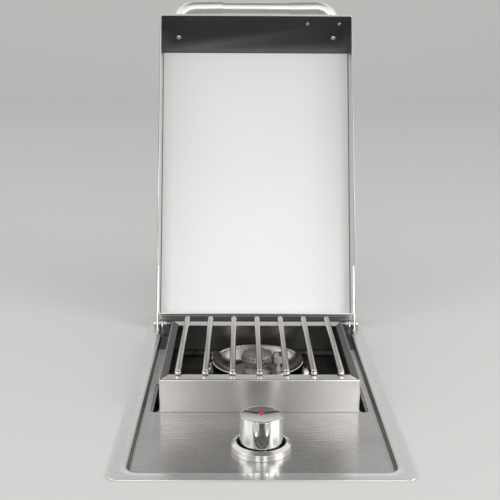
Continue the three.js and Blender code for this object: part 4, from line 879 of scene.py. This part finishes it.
@dataclass
class SheetWork:
    """The pressed and folded pieces and the small ones: smoothed copies of the frame's solids.

    Attributes:
        slots: The record's material slot of each solid; not used.
        deck_pieces: The solids on the deck, by the finish of their copies.
        lid_pieces: The solids on the lid, by the finish of their copies.
        side_flange: The width in mm of the band that holds each side flange of the box.
        end_flange: The same for its end flanges.
        rim_width: The width in mm round the deck that its recess stays clear of.
        wall_slopes: The least and most that a wall of the recess faces up, from 0 to 1.
        level_slope: The least that a level face faces up.
        lid_shade_tilt: How far up the lid's front faces at rest, in degrees.
        lid_shade_slope: The least that the dark inner faces look down and forwards.
        lid_shade_share: The least that they look the way that the lid's front does.
    """

    slots: dict[str, str]
    deck_pieces: dict[Finish, tuple[str, ...]] = field(
        default_factory=lambda: {
            Finish.DECK_STEEL: ("deck_plate", *both("pivot_lug")),
            Finish.BOX_STEEL: ("burner_box",),
            Finish.TRAY_STEEL: ("drip_tray",),
            Finish.BURNER_CAST: ("burner_base",),
            Finish.POLISHED_STEEL: (
                "burner_bracket", "spark_hood", *both("deck_screw"),
                *both("pivot_bolt"), *both("pivot_nut"), *both("pivot_spacer"),
            ),
        }
    )
    lid_pieces: dict[Finish, tuple[str, ...]] = field(
        default_factory=lambda: {
            Finish.LID_STEEL: ("lid_shell",),
            Finish.LINER_STEEL: ("lid_liner",),
            Finish.DECK_STEEL: both("hinge_arm"),
            Finish.HANDLE_STEEL: both("handle_end"),
            Finish.POLISHED_STEEL: (*both("handle_screw"), "lid_stud_1", "lid_stud_2"),
        }
    )
    side_flange: float = 10.8
    end_flange: float = 14.0
    rim_width: float = 12.0
    wall_slopes: tuple[float, float] = (0.1, 0.8)
    level_slope: float = 0.9
    lid_shade_tilt: float = 20.0
    lid_shade_slope: float = 0.4
    lid_shade_share: float = 0.2

    def build(self) -> None:
        """Copy and dress each piece."""
        extra = {
            "deck_plate": self.shade_walls,
            "burner_box": self.paint_box_flanges,
            "lid_shell": self.paint_lid_shade,
        }
        for body, pieces in (("deck", self.deck_pieces), ("lid", self.lid_pieces)):
            for finish, nodes in pieces.items():
                for node in nodes:
                    piece = smoothed(node, finish)
                    if node in extra:
                        extra[node](piece)
                    stand_in(piece, node, body)

    def shade_walls(self, plate: Object) -> None:
        """Paint the upright walls of the deck's recess darker, as painted shade.

        Args:
            plate: The deck's smoothed copy.
        """
        plate.data.materials.append(Finish.PAINTED_SHADE_SIDE_STEEL.material)
        low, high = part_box("deck_plate")
        rim = self.rim_width * MM
        least, most = self.wall_slopes
        for face in plate.data.polygons:
            inside = abs(face.center.x) < high.x - rim and low.y + rim < face.center.y < high.y - rim
            # the recess walls are painted darker as shade
            if inside and least < face.normal.z < most:
                face.material_index = 1

    def paint_box_flanges(self, walls: Object) -> None:
        """Give the box end flanges a painted highlight, side flanges painted shade, and darker, rougher
        walls inside.

        Args:
            walls: The box's smoothed copy.
        """
        for finish in (Finish.PAINTED_SHADE_SIDE_STEEL, Finish.PAINTED_HIGHLIGHT_STEEL, Finish.DARKER_INNER_STEEL):
            walls.data.materials.append(finish.material)
        low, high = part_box("burner_box")
        centre = middle("burner_box")
        side, end = self.side_flange * MM, self.end_flange * MM
        for face in walls.data.polygons:
            on_top = face.normal.z > self.level_slope and face.center.z > high.z - side
            beside = abs(face.center.x) > high.x - side
            between = low.y + end < face.center.y < high.y - end
            # side flanges get painted shade, the other top faces (the end flanges) a painted highlight
            if on_top and beside and between:
                face.material_index = 1
            elif on_top:
                face.material_index = 2
            elif (face.center - centre).xy.dot(face.normal.xy) < 0:
                face.material_index = 3

    def paint_lid_shade(self, shell: Object) -> None:
        """Paint the inner faces of the lid's front dark, as painted shade and a painted dark reflection.

        Args:
            shell: The lid's smoothed copy.
        """
        shell.data.materials.append(Finish.PAINTED_SHADE_LID_STEEL.material)
        tilt = math.radians(self.lid_shade_tilt)
        outward = Vector((0, -math.cos(tilt), math.sin(tilt)))
        for face in shell.data.polygons:
            down_and_forwards = max(face.normal.z, face.normal.y) < -self.lid_shade_slope
            # these inner faces are painted dark as shade and dark reflection
            if down_and_forwards and face.normal.dot(outward) > self.lid_shade_share:
                face.material_index = 1


@dataclass
class RoundStock:
    """The round bars: the rods across the burner box and the bar of the lid's handle.

    Attributes:
        rod_count: How many rods there are.
        rod_round: The radius of a rod's rounded ends in mm.
        rod_sides: The number of facets round a rod.
        bar_round: The radius of the handle bar's rounded ends in mm.
        bar_sides: The number of facets round it.
    """

    rod_count: int = 7
    rod_round: float = 1.2
    rod_sides: int = 40
    bar_round: float = 1.0
    bar_sides: int = 56

    def build(self) -> None:
        """Turn the rods and the bar."""
        self.rods()
        self.bar()

    def rods(self) -> None:
        """Turn the first rod and copy it to the others' places."""
        names = [f"grate_rod_{i}" for i in range(1, self.rod_count + 1)]
        low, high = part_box(names[0])
        centre = middle(names[0])
        lathe = Lathe(Vector((centre.x, low.y, centre.z)), ALONG_Y, ALONG_X)
        reach = ((high.z - low.z) / 2, high.y - low.y)
        first = lathe.turn_bar(names[0], reach, self.rod_round, self.rod_sides)
        finish_piece(first, Finish.POLISHED_STEEL)
        pieces = [first]
        for name in names[1:]:
            piece = copied(first, f"{name}_turned")
            with editing(piece):
                bpy.ops.transform.translate(value=middle(name) - centre)
            pieces.append(piece)
        for name, piece in zip(names, pieces):
            stand_in(piece, name, "deck")

    def bar(self) -> None:
        """Turn the handle's bar along X."""
        low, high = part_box("handle_bar")
        centre = middle("handle_bar")
        lathe = Lathe(Vector((low.x, centre.y, centre.z)), ALONG_X, ALONG_Z)
        reach = ((high.z - low.z) / 2, high.x - low.x)
        piece = lathe.turn_bar("handle_bar", reach, self.bar_round, self.bar_sides)
        finish_piece(piece, Finish.HANDLE_STEEL)
        stand_in(piece, "handle_bar", "lid")


@dataclass
class BurnerHead:
    """The dished bowl and the cast cap with its ring of ports.

    Attributes are in mm, as in the CAD model, with angles in degrees. The skirt, the shoulder and
    the hollow of the cap are pairs of a radius and a height. The bowl's slopes are its dish's tilts
    at the floor and at the lip. A face of the bowl's outside that looks up by less than the underside
    shade slope, which goes from 0 to 1, is painted black as shade.
    """

    bowl_thickness: float = 1.0
    bowl_rim_radius: float = 65.0
    bowl_bore: float = 16.0
    bowl_dish_radius: float = 51.55
    bowl_slopes: tuple[float, float] = (15.0, 48.0)
    bowl_dish_steps: int = 16
    bowl_lip: float = 1.6
    bowl_lip_start: float = 115.0
    bowl_lip_steps: int = 8
    bowl_skirt: float = 15.5
    bowl_taper: float = 1.5
    underside_shade_slope: float = 0.2
    cap_bore: float = 14.4
    cap_radius: float = 23.8
    cap_wall: float = 2.2
    cap_skirt: Profile = ((21.6, 0.0), (22.2, 0.5), (23.8, 2.4), (23.8, 3.6))
    cap_shoulder: Profile = ((20.9, 8.8), (19.8, 10.6), (12.5, 13.7), (10.0, 14.4))
    cap_crown_radius: float = 5.5
    cap_crown_drop: float = 0.3
    cap_hollow: Profile = ((18.4, 7.8), (21.6, 3.0), (14.4, 1.1))
    port_radius: float = 1.25
    port_height: float = 6.5
    port_count: int = 19
    port_sides: int = 10
    steps: int = 96

    def build(self) -> None:
        """Turn the bowl and the cap."""
        stand_in(self.bowl(), "burner_bowl", "deck")
        stand_in(self.cap(), "burner_cap", "deck")

    def bowl(self) -> Object:
        """The dished bowl with its rolled rim and short skirt.

        Returns:
            The bowl.
        """
        lathe, rim_top = Lathe.upright("burner_bowl", "burner_cap")
        floor, lip = self.bowl_thickness * MM, self.bowl_lip * MM
        rim, dish = self.bowl_rim_radius * MM, self.bowl_dish_radius * MM
        first, last = self.bowl_slopes
        start, end = math.radians(first), math.radians(last)
        floor_edge = rim - 2 * lip - dish * (math.sin(end) - math.sin(start))
        centre = (floor_edge - dish * math.sin(start), floor + dish * math.cos(start))
        section = [
            (self.bowl_bore * MM, floor),
            *rounded(centre, dish, first - 90, last - 90, self.bowl_dish_steps),
            *rounded((rim - lip, rim_top - lip), lip, self.bowl_lip_start, 0, self.bowl_lip_steps),
            (rim - self.bowl_taper * MM, rim_top - self.bowl_skirt * MM),
        ]
        piece = lathe.turn("burner_bowl_spun", section, self.steps)
        wall = piece.modifiers.new("wall", "SOLIDIFY")
        wall.thickness = floor
        wall.offset = -1.0
        wall.use_even_offset = True
        apply_modifier(piece, wall)
        close_up(piece)
        finish_piece(piece, Finish.BOWL_STEEL)
        piece.data.materials.append(Finish.PAINTED_SHADE_BOWL_STEEL.material)
        for face in piece.data.polygons:
            out = (face.center - lathe.centre).xy
            outer = out.dot(face.normal.xy) > 0 and out.length > self.cap_radius * MM
            # outer faces that look down are painted black as shade
            if outer and face.normal.z < self.underside_shade_slope:
                face.material_index = 1
        return piece

    def cap(self) -> Object:
        """The cast cap with a domed top and a ring of drilled ports.

        Returns:
            The cap.
        """
        lathe, height = Lathe.upright("burner_cap")
        top = height / MM
        foot = (self.cap_bore, 0.0)
        crown = [(self.cap_crown_radius, top - self.cap_crown_drop), (0.0, top), (0.0, top - self.cap_wall)]
        outline = [foot, *self.cap_skirt, *self.cap_shoulder, *crown, *self.cap_hollow, foot]
        profile = [(radius * MM, level * MM) for radius, level in outline]
        piece = lathe.turn("burner_cap_cast", profile, self.steps)
        cut(piece, self.port_drills(lathe))
        finish_piece(piece, Finish.BURNER_CAST)
        return piece

    def port_drills(self, lathe: Lathe) -> Object:
        """The drills for the cap's ports, joined into one cutter.

        Args:
            lathe: The cap's own axis and foot.

        Returns:
            The cutter.
        """
        drills = []
        radius, wall = self.port_radius * MM, self.cap_wall * MM
        profile = [(0, 0), (radius, 0), (radius, 3 * wall), (0, 3 * wall)]
        for i in range(self.port_count):
            angle = FULL_TURN * (i + 0.5) / self.port_count
            outward = Vector((-math.sin(angle), math.cos(angle), 0))
            place = lathe.centre + outward * self.cap_radius * MM + ALONG_Z * self.port_height * MM
            drill = Lathe(place - outward * 2 * wall, outward, ALONG_Z)
            drills.append(drill.turn(f"drill_{i}", profile, self.port_sides))
        activate(drills[0])
        for drill in drills:
            drill.select_set(True)
        bpy.ops.object.join()
        return drills[0]


@dataclass
class ControlKnob:
    """The fluted knob with its inset face and the bezel round it.

    Attributes are in mm, as in the CAD model, with angles in degrees. The flutes begin above a plain
    height at the knob's base, reach their depth over the run-in and end in the round of its rim.
    """

    flutes: int = 9
    points_per_flute: int = 16
    flute_depth: float = 1.1
    base_radius: float = 25.6
    top_radius: float = 24.8
    base_chamfer: float = 1.1
    crown_round: float = 1.2
    crown_steps: int = 6
    plain_height: float = 5.0
    run_in: float = 19.0
    run_in_steps: int = 10
    smooth_below: float = 42.0
    face_radius: float = 22.4
    face_depth: float = 5.0
    face_gap: float = 0.3
    face_edge: float = 0.3
    dish: float = 2.6
    dish_steps: int = 12
    bezel_radius: float = 34.6
    bezel_bore: float = 28.7
    bezel_wall: float = 7.5
    bezel_edge_round: float = 1.0
    bezel_edge_turn: float = 60.0
    bezel_edge_steps: int = 5
    bezel_inner_round: float = 1.2
    bezel_inner_steps: int = 6
    steps: int = 96

    def build(self) -> None:
        """Make the knob, its face, its pointer and its bezel."""
        stand_in(self.body(), "knob_body", "knob")
        stand_in(self.face(), "knob_face", "knob")
        stand_in(smoothed("knob_pointer", Finish.ENAMEL), "knob_pointer", "knob")
        stand_in(self.bezel(), "knob_bezel", "deck")

    def press_ring(self, piece: Object, centre: Vector, height: float, depth: float) -> None:
        """Press the flutes into the round ring of the knob at one height.

        Args:
            piece: The knob.
            centre: A point on the knob's axis.
            height: The ring's height in metres.
            depth: The flutes' depth there in mm.
        """
        half = self.points_per_flute // 2
        count = self.flutes * self.points_per_flute
        for level in range(half + 1):
            dip = depth * MM * (0.5 + 0.5 * math.cos(math.pi * level / half))
            firsts = range(0, count, self.points_per_flute)
            chosen = {(first + offset) % count for first in firsts for offset in (level, -level)}

            def at_level(place: Vector) -> bool:
                """Test whether a vertex is on this ring and at this step of a flute.

                Args:
                    place: The vertex's place.

                Returns:
                    Whether it is.
                """
                if abs(place.z - height) > WELD or (place - centre).xy.length < self.face_radius * MM / 2:
                    return False
                turn = math.atan2(place.x - centre.x, centre.y - place.y) / FULL_TURN
                return round(turn * count) % count in chosen

            pick(piece, at_level)
            radius = max((vertex.co - centre).xy.length for vertex in piece.data.vertices if vertex.select)
            share = 1 - dip / radius
            pivot = (centre.x, centre.y, height)
            with editing(piece, everything=False):
                bpy.ops.transform.resize(value=(share, share, 1), center_override=pivot)

    def rings(self, height: float) -> list[tuple[float, float, float]]:
        """The rings of the knob's side from its foot to its rim.

        Args:
            height: The knob's height in mm.

        Returns:
            A radius, a height and a depth of the flutes for each, in mm.
        """
        shoulder = height - self.crown_round
        rings = [
            (self.base_radius - self.base_chamfer, 0.0, 0.0),
            (self.base_radius, self.base_chamfer, 0.0),
            (self.base_radius, self.plain_height, 0.0),
        ]
        for i in range(1, self.run_in_steps + 1):
            share = i / self.run_in_steps
            level = self.plain_height + self.run_in * share
            radius = self.base_radius + (self.top_radius - self.base_radius) * share * level / shoulder
            rings.append((radius, level, self.flute_depth * (0.5 - 0.5 * math.cos(math.pi * share))))
        corner = (self.top_radius - self.crown_round, shoulder)
        crown = rounded(corner, self.crown_round, 0, 90, self.crown_steps)
        for i, (radius, level) in enumerate(crown):
            rings.append((radius, level, self.flute_depth * (1 - i / (self.crown_steps + 1))))
        return rings

    def body(self) -> Object:
        """The knob: a stack of rings with flutes, and a seat for the face in its top.

        Returns:
            The knob.
        """
        lathe, height = Lathe.upright("knob_body")
        rings = self.rings(height / MM)
        seat_radius, seat = (self.face_radius + self.face_gap) * MM, height - self.face_depth * MM
        profile = [(0.0, 0.0), *[(radius * MM, level * MM) for radius, level, _ in rings]]
        profile += [(seat_radius, height), (seat_radius, seat), (0.0, seat)]
        piece = lathe.turn("knob_fluted", profile, self.flutes * self.points_per_flute)
        for _, level, depth in rings:
            if depth > WELD:
                self.press_ring(piece, lathe.centre, lathe.centre.z + level * MM, depth)
        finish_piece(piece, Finish.CHROME, self.smooth_below)
        return piece

    def face(self) -> Object:
        """The dished face let into the knob's top, with a fine edge.

        Returns:
            The face.
        """
        lathe, height = Lathe.upright("knob_face")
        radius, edge = self.face_radius * MM, self.face_edge * MM
        shares = [1 - (i + 1) / self.dish_steps for i in range(self.dish_steps)]
        hollow = [(share * radius, height - self.dish * MM * (1 - share * share)) for share in shares]
        profile = [(0, 0), (radius, 0), (radius, height - edge), (radius - edge, height), *hollow]
        piece = lathe.turn("knob_face_disc", profile, self.steps)
        finish_piece(piece, Finish.CHROME)
        return piece

    def bezel(self) -> Object:
        """The ring round the knob's well, with a conical top.

        Returns:
            The ring.
        """
        lathe, height = Lathe.upright("knob_bezel")
        edge, inner = self.bezel_edge_round, self.bezel_inner_round
        outer_at = (self.bezel_radius - edge, self.bezel_wall - edge)
        inner_at = (self.bezel_bore + inner, height / MM - inner)
        outline = [
            (self.bezel_bore, 0.0),
            (self.bezel_radius, 0.0),
            *rounded(outer_at, edge, 0, self.bezel_edge_turn, self.bezel_edge_steps),
            *rounded(inner_at, inner, 90, 180, self.bezel_inner_steps),
            (self.bezel_bore, 0.0),
        ]
        profile = [(radius * MM, level * MM) for radius, level in outline]
        piece = lathe.turn("knob_bezel_ring", profile, self.steps)
        finish_piece(piece, Finish.BEZEL_CHROME)
        return piece


@dataclass
class IgnitionLead:
    """The silicone lead from the igniter to the electrode, inside the housing.

    Attributes:
        route: The lead's points in mm, as in the CAD model.
        diameter: Its diameter in mm.
        bevel_steps: How finely the lead is rounded.
        span_steps: How many steps there are between two points.
    """

    route: tuple[tuple[float, float, float], ...] = (
        (23.3, 99.1, -40.6),
        (27.3, 121.1, -42.6),
        (40.3, 161.1, -49.6),
        (43.3, 219.1, -52.6),
        (39.3, 275.1, -50.6),
        (33.5, 323.5, -39.5),
        (29.5, 339.5, -28.5),
        (29.5, 339.5, -20.5),
    )
    diameter: float = 3.2
    bevel_steps: int = 4
    span_steps: int = 12

    def build(self) -> None:
        curve = bpy.data.curves.new("ignition_lead_sleeve", "CURVE")
        curve.dimensions = "3D"
        curve.bevel_depth = self.diameter / 2 * MM
        curve.bevel_resolution = self.bevel_steps
        curve.use_fill_caps = True
        spline = curve.splines.new("BEZIER")
        spline.bezier_points.add(len(self.route) - 1)
        for point, place in zip(spline.bezier_points, self.route):
            point.co = Vector(place) * MM
            point.handle_left_type = "AUTO"
            point.handle_right_type = "AUTO"
        spline.resolution_u = self.span_steps
        lead = bpy.data.objects.new("ignition_lead_sleeve", curve)
        bpy.context.scene.collection.objects.link(lead)
        curve.materials.append(Finish.SILICONE.material)
        bpy.context.view_layer.update()
        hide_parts("ignition_lead")
        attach(lead, "deck")
        log.info("%s is %.0f mm long", lead.name, spline.calc_length() / MM)


@dataclass
class FittedFinishes:
    """The finishes of the frame's solids that stay as they are, by the record's slots."""

    by_slot: dict[str, Finish] = field(
        default_factory=lambda: {
            "brushed_steel": Finish.DECK_STEEL,
            "polished_steel": Finish.POLISHED_STEEL,
            "chrome": Finish.CHROME,
            "satin_chrome": Finish.SATIN_CHROME,
            "galvanised_steel": Finish.ZINC,
            "dark_steel": Finish.TRAY_STEEL,
            "burner_cast": Finish.BURNER_CAST,
            "valve_cast": Finish.VALVE_CAST,
            "brass": Finish.BRASS,
            "black_plastic": Finish.PHENOLIC,
            "red_enamel": Finish.ENAMEL,
            "white_ceramic": Finish.PORCELAIN,
            "lead_rubber": Finish.SILICONE,
        }
    )

    def dress(self, frame: dict) -> None:
        """Give every solid of the frame the finish of its slot.
        """
        for entry in frame["record"]["subparts"]:
            node = frame["nodes"][entry["node"]]
            node.data.materials.clear()
            node.data.materials.append(self.by_slot[entry["material_slot"]].material)


# The studio


@dataclass(frozen=True)
class Shade:
    """A darker part of the world, which the metal mirrors.

    Attributes:
        depth: How much light it takes away, from 0 to 1.
        ramps: Its limits: a direction's name, where the shade starts along it and where it is full.
    """

    depth: float
    ramps: tuple[tuple[str, float, float], ...]


@dataclass(frozen=True)
class Lamp:
    """A square soft lamp.

    Attributes:
        name: Its name.
        place: Where it stands, in mm.
        size: The length of its side in mm.
        power: Its power in watts.
    """

    name: str
    place: tuple[float, float, float]
    size: float
    power: float


@dataclass
class Studio:
    """The counter that the burner hangs in, the backdrop, the lights and the camera.

    Attributes are in mm and degrees unless a comment says otherwise. The cut-out's edge lies under
    the deck's flange.
    """

    camera_place: tuple[float, float, float] = (-23.29, -916.08, 476.77)
    camera_pitch: float = 13.76
    camera_yaw: float = 0.53
    camera_roll: float = -0.29
    focal_pixels: float = 942.0  # in pixels, as is the frame's width
    frame_pixels: float = 500.0
    sensor: float = 36.0
    world_level: float = 0.93  # the strength of the world's light where no shade is
    strip_side: float = 0.02  # how far to the right the strip is, as a share of a direction
    shades: tuple[Shade, ...] = (
        Shade(0.85, (("X", 0.13, 0.015), ("Y", -0.1, -0.4), ("Z", 0.45, 0.3))),
        Shade(0.75, (("X", 0.6, 0.25), ("Z", 0.78, 0.93))),
        Shade(0.95, (("Z", 0.0, -0.05),)),
        Shade(0.8, (("X", 0.24, 0.14), ("Y", 0.1, 0.25), ("Z", 0.56, 0.64), ("Z", 0.86, 0.78))),
    )  # a strip behind the camera, the ceiling, below the counter and a flag high at the back
    lamps: tuple[Lamp, ...] = (
        Lamp("left_panel", (-1500, -300, 1100), 1000, 5.0),
        Lamp("right_panel", (1500, -300, 1100), 1000, 9.0),
        Lamp("front_left_panel", (-480, -2000, 850), 500, 3.5),
        Lamp("front_right_panel", (520, -2000, 850), 500, 4.5),
    )
    lamp_target: tuple[float, float, float] = (0, 250, 100)
    cut_side: float = 153.0
    cut_front: float = 8.0
    cut_rear: float = 532.0
    reach: float = 4500.0
    sweep_radius: float = 1500.0
    sweep_steps: int = 12
    floor_colour: int = 0xD6D5D3
    mottle: float = 1000 / 3
    floor_roughness: tuple[float, float] = (0.75, 0.85)

    def build(self) -> None:
        """Set up the counter, the lights, the camera and the view transform."""
        self.counter()
        self.world()
        self.lights()
        self.camera()
        bpy.context.scene.view_settings.view_transform = "Standard"

    def counter(self) -> None:
        """A pale counter with a cut-out, curving up all round into the backdrop."""
        deselect()
        reach = self.reach * MM
        bpy.ops.mesh.primitive_plane_add(size=2 * reach, location=ORIGIN)
        floor = bpy.context.object
        floor.name = "counter_floor"
        front, rear, side = self.cut_front * MM, self.cut_rear * MM, self.cut_side * MM
        across = [((x, 0, 0), ALONG_X) for x in (side, -side)]
        along = [((0, y, 0), ALONG_Y) for y in (front, rear)]
        for place, normal in across + along:
            with editing(floor):
                bpy.ops.mesh.bisect(plane_co=place, plane_no=normal)
        for face in floor.data.polygons:
            face.select = abs(face.center.x) < side and front < face.center.y < rear
        with editing(floor, everything=False):
            bpy.ops.mesh.select_mode(type="FACE")
            bpy.ops.mesh.delete(type="FACE")
        pick(floor, lambda place: max(abs(place.x), abs(place.y)) > reach - MM)
        with editing(floor, everything=False):
            self.sweep()
        activate(floor)
        bpy.ops.object.shade_smooth()
        floor.data.materials.append(self.matt_paint())
        floor.select_set(False)

    def sweep(self) -> None:
        """Draw the selected outer edges up and out along a quarter circle."""
        quarter = FULL_TURN / 4
        span = self.sweep_radius * quarter / self.sweep_steps
        spread = 1.0
        for step in range(self.sweep_steps):
            slope = quarter * (step + 0.5) / self.sweep_steps
            rise = (0, 0, span * math.sin(slope) * MM)
            wider = spread + span * math.cos(slope) / self.reach
            bpy.ops.mesh.extrude_edges_move(TRANSFORM_OT_translate={"value": rise})
            bpy.ops.transform.resize(value=(wider / spread, wider / spread, 1), center_override=ORIGIN)
            spread = wider

    def matt_paint(self) -> Material:
        """The pale matt paint of the counter, with a very faint mottle.

        Returns:
            The paint.
        """
        material, tree, shader, place = blank_material("matt_studio_paint")
        mottle = add_node(tree, "TexNoise", {"Vector": place, "Scale": 1 / (self.mottle * MM)})
        low, high = self.floor_roughness
        rough = add_node(tree, "MapRange", {"Value": mottle.outputs["Fac"], "To Min": low, "To Max": high})
        colour = linear(self.floor_colour)
        feed(tree, shader, {"Base Color": colour, "Roughness": rough.outputs["Result"]})
        return material

    def world(self) -> None:
        """Even light from all round, with the shades taken out of it."""
        world = bpy.data.worlds.new("studio")
        bpy.context.scene.world = world
        world.use_nodes = True
        tree = world.node_tree
        direction = add_node(tree, "TexCoord").outputs["Generated"]
        parts = add_node(tree, "SeparateXYZ", {"Vector": direction}).outputs
        offset = add_node(tree, "Math", {0: parts["X"], 1: self.strip_side}, operation="SUBTRACT")
        aside = add_node(tree, "Math", {0: offset.outputs[0]}, operation="ABSOLUTE").outputs[0]
        dark: NodeSocket | float = 0.0
        for shade in self.shades:
            taken: NodeSocket | float = shade.depth
            for name, start, end in shade.ramps:
                ramp = {"Value": aside if name == "X" else parts[name], "From Min": start, "From Max": end}
                fade = add_node(tree, "MapRange", ramp, interpolation_type="SMOOTHSTEP").outputs[0]
                taken = add_node(tree, "Math", {0: fade, 1: taken}, operation="MULTIPLY").outputs[0]
            dark = add_node(tree, "Math", {0: dark, 1: taken}, operation="ADD").outputs[0]
        left = {"Value": dark, "To Min": self.world_level, "To Max": 0.0}
        level = add_node(tree, "MapRange", left).outputs["Result"]
        feed(tree, tree.nodes["Background"], {"Color": linear(0xFFFFFF), "Strength": level})

    def lights(self) -> None:
        """A soft lamp at each side and two in front, the right ones stronger."""
        for lamp in self.lamps:
            light = bpy.data.lights.new(lamp.name, "AREA")
            light.size = lamp.size * MM
            light.energy = lamp.power
            stand = bpy.data.objects.new(lamp.name, light)
            stand.location = Vector(lamp.place) * MM
            aim = Vector(self.lamp_target) * MM - stand.location
            stand.rotation_euler = aim.to_track_quat("-Z", "Y").to_euler()
            bpy.context.scene.collection.objects.link(stand)

    def camera(self) -> None:
        """The camera at the photograph's place and angle."""
        data = bpy.data.cameras.new("camera")
        data.sensor_width = self.sensor
        data.lens = self.sensor * self.focal_pixels / self.frame_pixels
        camera = bpy.data.objects.new("camera", data)
        camera.location = Vector(self.camera_place) * MM
        angles = (self.camera_pitch, self.camera_yaw, self.camera_roll)
        pitch, yaw, roll = (math.radians(angle) for angle in angles)
        flat = math.cos(pitch)
        forward = Vector((math.sin(yaw) * flat, math.cos(yaw) * flat, -math.sin(pitch)))
        level = Vector((math.cos(yaw), -math.sin(yaw), 0))
        right = level * math.cos(roll) - level.cross(forward) * math.sin(roll)
        turn = forward.to_track_quat("-Z", "Y").to_matrix()
        turn.col[0], turn.col[1], turn.col[2] = right, right.cross(forward), -forward
        camera.rotation_mode = "QUATERNION"
        camera.rotation_quaternion = turn.to_quaternion()
        bpy.context.scene.collection.objects.link(camera)
        bpy.context.scene.camera = camera


def main() -> None:
    """Load the frame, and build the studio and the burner."""
    logging.basicConfig(level=logging.INFO, format="%(name)s: %(message)s")
    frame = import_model()
    Studio().build()
    IgnitionLead().build()
    FittedFinishes().dress(frame)
    SheetWork({entry["node"]: entry["material_slot"] for entry in frame["record"]["subparts"]}).build()
    RoundStock().build()
    BurnerHead().build()
    ControlKnob().build()


if __name__ == "__main__":
    main()
